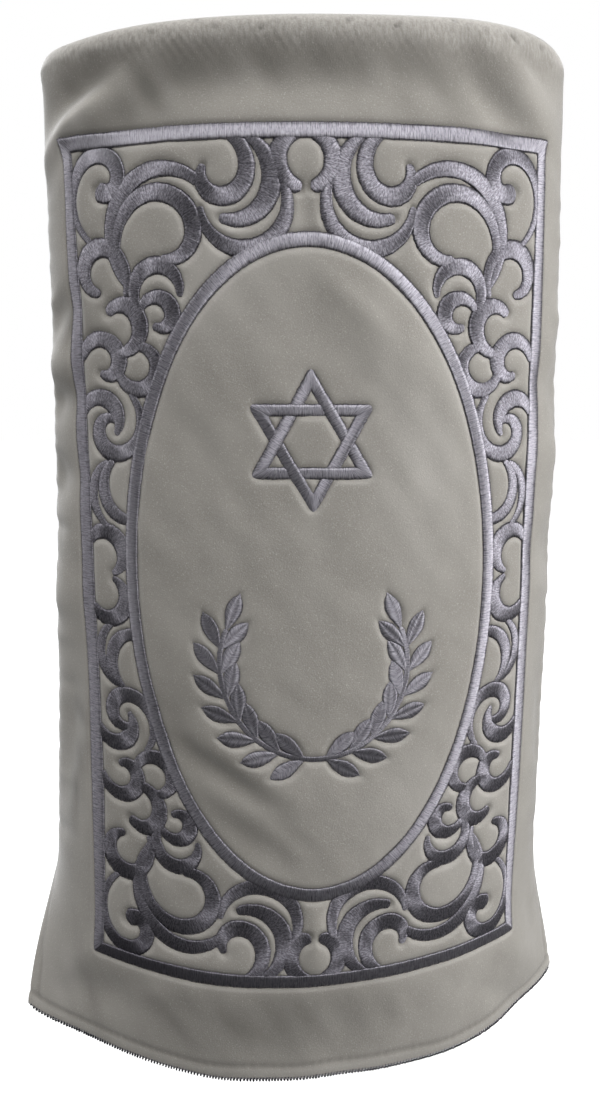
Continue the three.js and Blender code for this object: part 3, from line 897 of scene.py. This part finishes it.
def bandFaces(at, closed):
    # walls along a band's rings of point numbers, and a face over each end where the band isn't closed
    if closed:
        return [ringQuads(np.concatenate([at, at[:1]]))]
    return [at[0][None, ::-1], at[-1][None, :], ringQuads(at)]


def satinPiece(name, lines, seed, replaced, filled=0.0):
    # the bands of all the lines as one mesh laid on the front, with painted shade and light where the table
    # paints their threads darker or lighter
    draw = np.random.default_rng(seed)
    bands = [stitchedBand(line, draw) for line in lines]
    faces = []
    start = 0
    for line, band in zip(lines, bands):
        at = start + np.arange(band["paintedShade"].size).reshape(band["paintedShade"].shape)
        faces += bandFaces(at, line["closed"])
        start += at.size
    s, v, lift = np.concatenate([band["points"].reshape(-1, 3) for band in bands]).T
    uv = np.concatenate([band["uv"].reshape(-1, 2) for band in bands])
    z = embroidery["middle"] + v
    # painted shade where above zero, painted light where below it
    lieAndPaintedShade = sum(softRidge(s, z, row) for row in paintedThreadShading)
    marks = {
        "paintedShade": np.concatenate([band["paintedShade"].ravel() for band in bands]),
        "dark": lieAndPaintedShade.clip(0, stitch["mostPaintedThreadShade"]),
        "light": (-lieAndPaintedShade).clip(0, stitch["mostPaintedThreadShade"]),
        "filled": np.full(len(s), filled),
    }
    piece = makePiece(name, clothPoint("front", s, z, lift), faces, thread, uv, marks)
    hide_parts(replaced)


def ovalCourse():
    # an ellipse whose outer edge has the oval's size
    angle = np.linspace(0, 2 * math.pi, linePoints["oval"], endpoint=False)
    half = embroidery["wide"] / 2
    wide, high = border["ovalWide"] - half, border["ovalHigh"] - half
    points = np.stack([wide * np.cos(angle), high * np.sin(angle)], -1)
    return course(points, np.full(linePoints["oval"], half), closed=True)


def frameCourse():
    # four bars whose outer edges have the frame's size
    half = embroidery["wide"] / 2
    wide, high = border["frameWide"] - half, border["frameHigh"] - half
    corners = np.array([[-1, -1], [1, -1], [1, 1], [-1, 1]]) * [wide, high]
    return cornerCourse(corners, half, border["frameSwell"])


def starCourses():
    # two triangles; a bar's middle lies half its width inside
    # the outer one, so the corners lie a whole width inside
    radius = star["radius"] - star["barWide"]
    triangles = [polygonCorners(3, radius, star["v"], first) for first in (90, -90)]
    return [{**cornerCourse(corners, star["barWide"] / 2), "weave": star["weave"]} for corners in triangles]


def ringPoint(side, angle):
    # a place on the wreath's ring, on its right (1) or left (-1) half
    return [side * wreath["radius"] * np.cos(angle), wreath["v"] + wreath["radius"] * np.sin(angle)]


def wreathCourses():
    # on each side a stem round the ring, a pair of splayed leaves at each seat, and one leaf at the tip
    lines = []
    count = linePoints["stem"]
    seats = np.linspace(leaf["first"], leaf["last"], leaf["pairs"])
    leaves = [(seat, splay) for seat in seats for splay in (-leaf["splay"], leaf["splay"])]
    leaves.append((wreath["tip"], 0))
    for side in (1, -1):
        ring = np.stack(ringPoint(side, np.radians(np.linspace(wreath["foot"], wreath["tip"], count))), -1)
        lines.append(roundEnds(course(ring, np.full(count, wreath["stemWide"] / 2))))
        for seat, splay in leaves:
            heading = math.radians(seat + 90 + splay)
            heading = heading if side > 0 else math.pi - heading
            lines.append(leafCourse(*ringPoint(side, math.radians(seat)), heading))
    return lines


frameLine = {**frameCourse(), "over": border["frameOver"]}
ovalLine = {**ovalCourse(), "over": border["ovalOver"]}
scrollLines = {
    side: [scrollCourse(row, mirror, up) for up in (1, -1) for row in scrollStrokes]
    for side, mirror in (("left", 1), ("right", -1))
}
starLines = starCourses()
wreathLines = wreathCourses()

satinPiece("satin_frame", [frameLine], 11, "embroidered_border")
satinPiece("satin_oval", [ovalLine], 12, "embroidered_border")
satinPiece("satin_scrolls_left", scrollLines["left"], 13, "embroidered_border", filled=0.75)
satinPiece("satin_scrolls_right", scrollLines["right"], 14, "embroidered_border", filled=0.75)
satinPiece("satin_star", starLines, 15, "embroidered_star")
satinPiece("satin_wreath", wreathLines, 16, "embroidered_wreath")
print("embroidery")


def stitchedDiscs(lines):
    # a stroke as discs down its middle, for measuring how far a place is from the stitching
    every = 3
    discs = [np.column_stack([line["place"], line["half"] * stitch["spread"]])[::every] for line in lines]
    return np.concatenate(discs)


def distanceToDiscs(places, discs):
    # the least distance to a disc's edge, below zero inside it, worked out a block of places at a time
    block = 4000
    nearest = np.empty(len(places), np.float32)
    discs = discs.astype(np.float32)
    for first in range(0, len(places), block):
        part = places[first : first + block].astype(np.float32)
        gap = np.hypot(part[:, :1] - discs[:, 0], part[:, 1:] - discs[:, 1]) - discs[:, 2]
        nearest[first : first + block] = gap.min(1)
    return nearest


def distanceToStitching(s, v):
    # the border is the same in its four quarters, so one quarter's discs serve them all,
    # with a margin past its edges; the motifs only matter within a share of the oval
    margin = 14.0
    ovalShare = 0.97
    places = np.column_stack([s.ravel(), v.ravel()])
    folded = np.column_stack([-np.abs(places[:, 0]), np.abs(places[:, 1])])
    discs = stitchedDiscs([frameLine, ovalLine, *scrollLines["left"], *scrollLines["right"]])
    discs = discs[(discs[:, 0] < margin) & (discs[:, 1] > -margin)]
    distance = distanceToDiscs(folded, discs)
    inside = np.hypot(places[:, 0] / border["ovalWide"], places[:, 1] / border["ovalHigh"]) < ovalShare
    motifs = stitchedDiscs(starLines + wreathLines)
    distance[inside] = np.minimum(distance[inside], distanceToDiscs(places[inside], motifs))
    return distance.reshape(s.shape)


# The velvet between the stitches puffs up: a short shoulder at the edge of the stitching, then a slower
# swell. Painted shade lies along the stitching, darker above a stroke, and painted light below it, most of
# all a little way off.
puff = {
    "down": -0.72,
    "shoulder": 0.95,
    "shoulderReach": 1.2,
    "swell": 0.5,
    "swellReach": 6.0,
    "slope": 0.3,
    "slopeEnd": -1.5,
    "shade": 0.24,
    "shadeReach": 0.9,
    "open": 0.17,
    "openAt": 1.8,
    "openReach": 1.2,
}


def puffLift(distance):
    # the edge's depth, plus two rises that level off as 1 -
    # exp(-distance / reach), and a slope under the stitching
    out = np.maximum(distance, 0)
    rise = puff["shoulder"] * (1 - np.exp(-out / puff["shoulderReach"]))
    rise = rise + puff["swell"] * (1 - np.exp(-out / puff["swellReach"]))
    return puff["down"] + rise + puff["slope"] * np.minimum(distance, 0).clip(puff["slopeEnd"])


# The padded rim: a roll of brushed pile in uneven tufts, its top painted lighter as a painted highlight
# above a wavy edge, with the dimples where the needle went in, painted in shade. It stands higher or lower
# over some stretches, with the columns middle, reach and rise.
rim = {
    "round": 11.0,
    "lip": 14.0,
    "height": 10.0,
    "foot": 0.4,
    "wallTop": 3.0,
    "wallFade": 6.0,
    "bulge": 0.6,
    "bulgeMiddle": 1.0,
    "bulgeTall": 13.0,
    "fuzz": 0.4,
    "fuzzMiddle": -3.0,
    "fuzzTall": 9.0,
    "brush": 0.5,
    "brushFoot": -24.0,
    "brushTall": 22.0,
    "paintedLightWave": 2.1,
    "paintedLightFineWave": 0.9,
    "open": 0.5,
    "openFoot": -8.0,
    "openTall": 8.0,
    "heightFoot": -6.0,
    "heightTall": 10.0,
}
rimHeights = [(118, 60, 2.8), (0, 120, 1.0), (-150, 40, -2.0), (-196, 16, -2.5), (182, 24, -2.4)]
dimple = {
    "apart": 19.0,
    "wide": 1.5,
    "tall": 1.3,
    "deep": 1.3,
    "middle": 3.5,
    "scatter": 3.5,
    "slant": 1.5,
    "end": 200.0,
    "shade": 0.75,
}

# The sewn hem, the sewn edges of the vents, and the side seams with their pucker. Each line of stitches
# wanders a little and draws the cloth down, and the turned cloth beyond it is a little higher. Painted shade
# lies along the stitches and seams, and the hem's turned band is painted lighter as painted light.
hem = {
    "stitch": 9.0,
    "wander": 0.5,
    "deep": 0.5,
    "wide": 2.0,
    "uneven": 0.25,
    "puff": 0.3,
    "fade": 3.0,
    "corner": 0.6,
    "shade": 0.3,
    "open": 0.16,
}
vent = {
    "stitch": 6.5,
    "wander": 0.4,
    "deep": 0.5,
    "wide": 1.3,
    "puff": 0.2,
    "fade": 3.0,
    "top": 12.0,
    "foot": 2.0,
}
seam = {
    "deep": 1.3,
    "wide": 2.4,
    "pucker": 0.76,
    "puckerShift": 40.0,
    "puckerReach": 14.0,
    "puckerStart": 3.0,
    "puckerTop": -40.0,
    "puckerFade": 60.0,
    "shade": 0.55,
    "shadeReach": 1.4,
}

# The soft unevenness of the whole cloth, how the painted shade and light of the patches varies, and how far
# each painted mark may go.
ripple = {"high": 0.35, "lieAndPaintedShade": 0.3}
most = {"paintedShade": 0.9, "open": 0.8, "lieAndPaintedShade": 0.8}

# The rows and columns of each panel's grid: the columns over the embroidery and on each side of it, the rows
# of the rim, and below it the rows down to each height. The inner face takes every innerStep-th of them.
panelGrid = {
    "front": {
        "middle": 200,
        "sides": 16,
        "half": 165.0,
        "rim": 12,
        "heights": [(-45, 36), (-590, 306), (-650, 34)],
    },
    "back": {
        "middle": 96,
        "sides": 16,
        "half": 165.0,
        "rim": 12,
        "heights": [(-45, 24), (-590, 140), (-650, 34)],
    },
}
sideEase = 1.7
innerStep = 4


def waves(x, seed, longest):
    # a smooth uneven line: five sine waves of random length and phase, between about -1 and 1
    draw = np.random.default_rng(seed)
    total = np.zeros_like(x)
    for share in (1, 0.8, 0.6, 0.5, 0.4):
        length = longest * draw.uniform(0.35, 1)
        total = total + share * np.sin(2 * math.pi * (x / length + draw.random()))
    return total / 2


def dimples(s, z, seed):
    # small slanted pits along the rim, each falling off as exp(-x^2 - y^2), at uneven distances
    draw = np.random.default_rng(seed)
    total = np.zeros_like(s)
    at = -dimple["end"]
    while at < dimple["end"]:
        at += dimple["apart"] * draw.uniform(0.15, 1.85)
        up = dimple["middle"] + draw.uniform(-dimple["scatter"], dimple["scatter"])
        size, slant = draw.uniform(0.3, 1), draw.uniform(-dimple["slant"], dimple["slant"])
        x, y = (s - at - slant * (z - up)) / dimple["wide"], (z - up) / dimple["tall"]
        total = total + size * np.exp(-x * x - y * y)
    return total


def panelRows(grid):
    # heights and insets down the outside of a panel and its inside:
    # a quarter-round rim that starts at the lip, then the wall
    turn = np.linspace(0, math.pi / 2, grid["rim"] + 1)[:-1]
    foot, thick = rim["foot"], cloth["thick"]
    drop = rim["height"] - foot
    outer = [(foot + drop * np.cos(turn), rim["round"] * (1 - np.sin(turn)))]
    inner = [(foot + (drop - thick) * np.cos(turn), rim["round"] - (rim["round"] - thick) * np.sin(turn))]
    outer[0][1][0] = inner[0][1][0] = rim["lip"]
    top = foot
    for bottom, count in grid["heights"]:
        z = top + (bottom - top) * np.arange(count) / count
        outer.append((z, np.zeros(count)))
        inner.append((z, np.full(count, thick)))
        top = bottom
    outer.append(([cloth["hem"]], [0.0]))
    inner.append(([cloth["hem"]], [thick]))
    return [[np.concatenate(column) for column in zip(*stretches)] for stretches in (outer, inner)]


def panelEdge(side, hand, z):
    # how far a panel's left (-1) or right (1) edge lies from its middle
    return quarterLength(z) - cloth["seamGap"] / 2 - vents[side][hand]["drawIn"] * ventShare(z)


def panelAcross(side, grid, z):
    # even columns over the embroidery and closer ones towards
    # each edge, with their distances to the nearer edge
    left, right = panelEdge(side, -1, z)[:, None], panelEdge(side, 1, z)[:, None]
    middle = np.linspace(-grid["half"], grid["half"], grid["middle"] + 1)
    share = 1 - (1 - np.arange(1, grid["sides"] + 1) / grid["sides"]) ** sideEase
    leftward = grid["half"] + (left - grid["half"]) * share[::-1]
    rightward = grid["half"] + (right - grid["half"]) * share
    s = np.concatenate([-leftward, np.broadcast_to(middle, (len(z), len(middle))), rightward], 1)
    return s, np.minimum(left + s, right - s)


def edgeFans(fine, coarse, turned):
    # two lines of points that run side by side, one finer than the other, joined by triangles
    step = (len(fine) - 1) // (len(coarse) - 1)
    a = np.arange(len(fine) - 1)
    nearest = (a + step - step // 2) // step
    first = np.stack([fine[a], coarse[nearest], fine[a + 1]], -1)
    b = np.arange(len(coarse) - 1)
    second = np.stack([fine[b * step + step // 2], coarse[b], coarse[b + 1]], -1)
    triangles = np.concatenate([first, second])
    return triangles[:, ::-1] if turned else triangles


def stitchedFace(face, s, height, wall):
    # the puffed velvet between the strokes, with painted shade along them and painted light below them,
    # falling off as exp(-x^2); above a stroke the distance to it grows with the height
    distance = distanceToStitching(s, height - embroidery["middle"])
    above = (np.gradient(distance, axis=0) / np.gradient(height, axis=0)).clip(-1, 1)
    shaded = np.exp(-((np.maximum(distance, 0) / puff["shadeReach"]) ** 2))
    opened = np.exp(-(((distance - puff["openAt"]) / puff["openReach"]) ** 2))
    face["lift"] += wall * puffLift(distance)
    face["paintedShade"] += puff["shade"] * shaded * (1 + above)
    face["open"] += puff["open"] * opened * (1 - above)


def rimFace(face, s, height):
    # a roll that falls off as exp(-x^2) from its middle, tufts as the product of two wavy lines, dimples
    # painted in shade, and a painted highlight on the top above a wavy edge
    roll = np.exp(-(((height - rim["bulgeMiddle"]) / rim["bulgeTall"]) ** 2))
    tufted = np.exp(-(((height - rim["fuzzMiddle"]) / rim["fuzzTall"]) ** 2))
    tufts = waves(s, seed=21, longest=9) * waves(height + 0.3 * s, seed=22, longest=14)
    holes = dimples(s, height, seed=29)
    paintedLightEdge = rim["paintedLightWave"] * waves(s, seed=33, longest=30) + rim["paintedLightFineWave"] * waves(s, seed=34, longest=7)
    face["lift"] += rim["bulge"] * roll + rim["fuzz"] * tufts * tufted - dimple["deep"] * holes
    face["paintedShade"] += dimple["shade"] * holes
    face["brush"] += rim["brush"] * smoothStep((height - rim["brushFoot"]) / rim["brushTall"])
    face["open"] += rim["open"] * smoothStep((height - rim["openFoot"] + paintedLightEdge) / rim["openTall"])


def hemFace(face, s, height, toEdge, inVent):
    # two lines of stitches that fall off as exp(-x^2), and a smooth step up to the turned cloth beyond each;
    # the lines carry painted shade and the hem's band painted light
    up = height - cloth["hem"] - hem["stitch"] - hem["wander"] * waves(s, seed=23, longest=120)
    hemLine = np.exp(-((up / hem["wide"]) ** 2)) * (1 + hem["uneven"] * waves(s, seed=24, longest=9))
    band = smoothStep(-up / hem["fade"])
    edge = smoothStep((height - cloth["hem"] + hem["corner"]) / hem["fade"])
    inward = toEdge - vent["stitch"] - vent["wander"] * waves(height, seed=25, longest=60)
    aboveHem = smoothStep((up + vent["foot"]) / vent["fade"])
    ventLine = inVent * np.exp(-((inward / vent["wide"]) ** 2)) * aboveHem
    ventBand = inVent * smoothStep(-inward / vent["fade"])
    face["lift"] += hem["puff"] * band * edge - hem["deep"] * hemLine
    face["lift"] += vent["puff"] * ventBand - vent["deep"] * ventLine
    face["paintedShade"] += hem["shade"] * (hemLine + ventLine)
    face["open"] += hem["open"] * band


def seamFace(face, s, height, toEdge, sewn):
    # the cloth drawn down along the seam as exp(-x^2), with a wavy pucker that grows and dies out beside it,
    # and painted shade along the seam
    near = np.exp(-toEdge / seam["puckerReach"]) * (1 - np.exp(-toEdge / seam["puckerStart"]))
    pucker = near * waves(height + seam["puckerShift"] * np.sign(s), seed=26, longest=30)
    drawn = np.exp(-((toEdge / seam["wide"]) ** 2))
    shaded = np.exp(-((toEdge / seam["shadeReach"]) ** 2))
    below = smoothStep((seam["puckerTop"] - height) / seam["puckerFade"])
    face["lift"] += sewn * (seam["pucker"] * pucker * below - seam["deep"] * drawn)
    face["paintedShade"] += sewn * seam["shade"] * shaded


def panelPiece(name, side):
    # a fine outer face and a coarser inner one, joined round their four edges
    grid = panelGrid[side]
    (z, inset), (innerZ, innerInset) = panelRows(grid)
    s, toEdge = panelAcross(side, grid, z)
    height = np.broadcast_to(z[:, None], s.shape)
    wall = smoothStep((rim["wallTop"] - height) / rim["wallFade"])
    inVent = smoothStep((cloth["ventTop"] + vent["top"] / 2 - height) / vent["top"])
    face = {key: np.zeros_like(s) for key in ("lift", "paintedShade", "open", "brush")}
    face["lift"] -= inset[:, None]
    if side == "front":
        stitchedFace(face, s, height, wall)
    rimFace(face, s, height)
    hemFace(face, s, height, toEdge, inVent)
    seamFace(face, s, height, toEdge, (1 - inVent) * wall)
    uneven = waves(s + 0.3 * height, seed=27, longest=70) * waves(height - 0.2 * s, seed=28, longest=90)
    face["lift"] += wall * ripple["high"] * uneven
    # painted shade from the table, and painted light where it is below zero
    lieAndPaintedShade = sum(softRidge(s, height, row) for row in paintedPileShading[side])
    lieAndPaintedShade = lieAndPaintedShade * (1 + ripple["lieAndPaintedShade"] * waves(s + 0.6 * height, seed=35, longest=45))
    face["open"] += np.maximum(-lieAndPaintedShade, 0)
    outer = clothPoint(side, s, height, face["lift"])
    if side == "front":
        atRim = smoothStep((height - rim["heightFoot"]) / rim["heightTall"])
        for middle, reach, rise in rimHeights:
            outer[..., 2] += rise * np.exp(-(((s - middle) / reach) ** 2)) * atRim
    innerS = s[::innerStep, ::innerStep]
    inner = clothPoint(side, innerS, innerZ[::innerStep, None], -innerInset[::innerStep, None])
    at = np.arange(s.size).reshape(s.shape)
    innerAt = s.size + np.arange(innerS.size).reshape(innerS.shape)
    faces = [
        cellQuads(at),
        cellQuads(innerAt)[:, ::-1],
        edgeFans(at[:, 0], innerAt[:, 0], False),
        edgeFans(at[:, -1], innerAt[:, -1], True),
        edgeFans(at[0], innerAt[0], True),
        edgeFans(at[-1], innerAt[-1], False),
    ]
    points = np.concatenate([outer.reshape(-1, 3), inner.reshape(-1, 3)])
    marks = {
        "paintedShade": face["paintedShade"].clip(0, most["paintedShade"]),
        "open": face["open"].clip(0, most["open"]),
        "brush": face["brush"],
        "lieAndPaintedShade": lieAndPaintedShade.clip(0, most["lieAndPaintedShade"]),
    }
    hidden = np.zeros(innerS.size)
    marks = {key: np.concatenate([value.ravel(), hidden]) for key, value in marks.items()}
    piece = makePiece(name, points, faces, velvet, attributes=marks)
    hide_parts(f"{side}_panel")
    return piece


frontPanel = panelPiece("velvet_front", "front")
backPanel = panelPiece("velvet_back", "back")
print("panels")

# The covered board lies inside the section at its foot by the inset. Its two holes have rounded edges,
# and its top and underside are rings of points on rays round each hole, closer together near the hole.
board = {
    "thick": 6.0,
    "inset": 5.2,
    "hole": 18.0,
    "fromMiddle": 78.0,
    "round": 1.6,
    "ovalRays": 97,
    "middleRays": 33,
    "rings": 12,
    "ringEase": 1.2,
    "edgeSteps": 5,
    "sharpFrom": 50,
    "weld": 1e-6,
}


def boardRays():
    # rays from a hole's middle at angles phi: out to the oval, where (fromMiddle + r cos)^2 /
    # wide^2 + (r sin)^2 / deep^2 is 1, or to the board's middle line, where r is -fromMiddle / cos
    wide, deep = sectionAt(0.0, "wide") - board["inset"], sectionAt(0.0, "deep") - board["inset"]
    turn = math.atan2(deep, -board["fromMiddle"])
    toOval = np.linspace(-turn, turn, board["ovalRays"])
    toMiddle = np.linspace(turn, 2 * math.pi - turn, board["middleRays"])[1:-1]
    phi = np.concatenate([toOval, toMiddle])
    cos, sin = np.cos(phi), np.sin(phi)
    square = (cos / wide) ** 2 + (sin / deep) ** 2
    halfLinear = board["fromMiddle"] * cos / wide**2
    constant = (board["fromMiddle"] / wide) ** 2 - 1
    reach = (-halfLinear + np.sqrt(halfLinear * halfLinear - square * constant)) / square
    reach[len(toOval) :] = -board["fromMiddle"] / cos[len(toOval) :]
    return cos, sin, reach


def boardPiece():
    # each ray carries the same profile: the underside from the outside in, the
    # hole's wall with its quarter-round edges, and the top from the inside out
    cos, sin, reach = boardRays()
    rings = board["rings"]
    share = np.linspace(0, 1, rings + 1)[1:] ** board["ringEase"]
    turn = np.linspace(0, math.pi / 2, board["edgeSteps"])
    edge = board["round"] * (1 - np.sin(turn))
    edgeZ = board["round"] * (1 - np.cos(turn))
    flat = board["hole"] + board["round"] + (reach[:, None] - board["hole"] - board["round"]) * share
    ring = np.broadcast_to(board["hole"] + edge, (len(reach), len(edge)))
    away = np.concatenate([flat[:, ::-1], ring, ring[:, ::-1], flat], 1)
    top = board["thick"]
    up = np.concatenate([np.zeros(rings), edgeZ, top - edgeZ[::-1], np.full(rings, top)])
    halves = []
    for side in (1, -1):
        x = side * (board["fromMiddle"] + away * cos[:, None])
        y = away * sin[:, None]
        halves.append(np.stack([x, y, np.broadcast_to(up, x.shape)], -1).reshape(-1, 3))
    at = np.arange(away.size).reshape(away.shape)
    at = np.concatenate([at, at[:1]])
    outside = at[: board["ovalRays"]]
    wall = np.stack([outside[:-1, -1], outside[1:, -1], outside[1:, 0], outside[:-1, 0]], -1)
    right = np.concatenate([cellQuads(at), wall])
    left = right[:, ::-1] + away.size
    points = np.concatenate(halves)
    marks = {"paintedShade": np.zeros(len(points))}
    piece = makePiece("velvet_board", points, [right, left], velvet, attributes=marks)
    mesh = bmesh.new()
    mesh.from_mesh(piece.data)
    bmesh.ops.remove_doubles(mesh, verts=mesh.verts, dist=board["weld"])
    bmesh.ops.recalc_face_normals(mesh, faces=mesh.faces)
    mesh.to_mesh(piece.data)
    mesh.free()
    piece.data.polygons.foreach_set("use_smooth", np.ones(len(piece.data.polygons), bool))
    piece.data.set_sharp_from_angle(angle=math.radians(board["sharpFrom"]))
    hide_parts("top_board")


boardPiece()
print("board")

# The overlocked raw edge of the hem: a thread that winds round it.
overlock = {
    "pitch": 2.1,
    "thread": 0.55,
    "up": 1.5,
    "out": 1.3,
    "middle": -0.2,
    "below": 0.1,
    "fromEdge": 1.5,
    "unevenPitch": 0.4,
    "unevenSize": 0.12,
    "sides": 5,
    "perTurn": 9,
}


def tubeAlong(path, radius, sides):
    # rings square to the path, each turned from one way across it and one way up from it
    forward = np.gradient(path, axis=0)
    forward = forward / np.linalg.norm(forward, axis=1, keepdims=True)
    up = np.array([0.0, 0.3, 1.0])
    across = np.cross(forward, up)
    across = across / np.linalg.norm(across, axis=1, keepdims=True)
    lift = np.cross(across, forward)
    angle = 2 * math.pi * np.arange(sides) / sides
    ring = np.cos(angle)[:, None] * across[:, None] + np.sin(angle)[:, None] * lift[:, None]
    points = (path[:, None] + radius * ring).reshape(-1, 3)
    at = np.arange(len(path) * sides).reshape(-1, sides)
    return points, [ringQuads(at), at[:1, ::-1], at[-1:]]


def overlockPiece(name, side):
    # a helix about the hem's bottom edge, flattened to an oval, a little uneven in pitch and size
    left, right = (float(panelEdge(side, hand, cloth["hem"])) - overlock["fromEdge"] for hand in (-1, 1))
    turns = (left + right) / overlock["pitch"]
    u = np.linspace(0, turns, int(turns * overlock["perTurn"]))
    s = -left + overlock["pitch"] * u + overlock["unevenPitch"] * waves(u, seed=31, longest=17)
    angle = 2 * math.pi * u
    size = 1 + overlock["unevenSize"] * waves(u, seed=32, longest=5)
    z = cloth["hem"] - overlock["below"] + overlock["up"] * size * np.sin(angle)
    lift = overlock["middle"] + overlock["out"] * size * np.cos(angle)
    points, faces = tubeAlong(clothPoint(side, s, z, lift), overlock["thread"], overlock["sides"])
    # the whole thread takes the deep thread colour: its own dark thread, and painted shade
    marks = {"paintedShade": np.ones(len(points))}
    piece = makePiece(name, points, faces, thread, np.zeros((len(points), 2)), marks)


overlockPiece("overlock_front", "front")
overlockPiece("overlock_back", "back")
print("overlock")
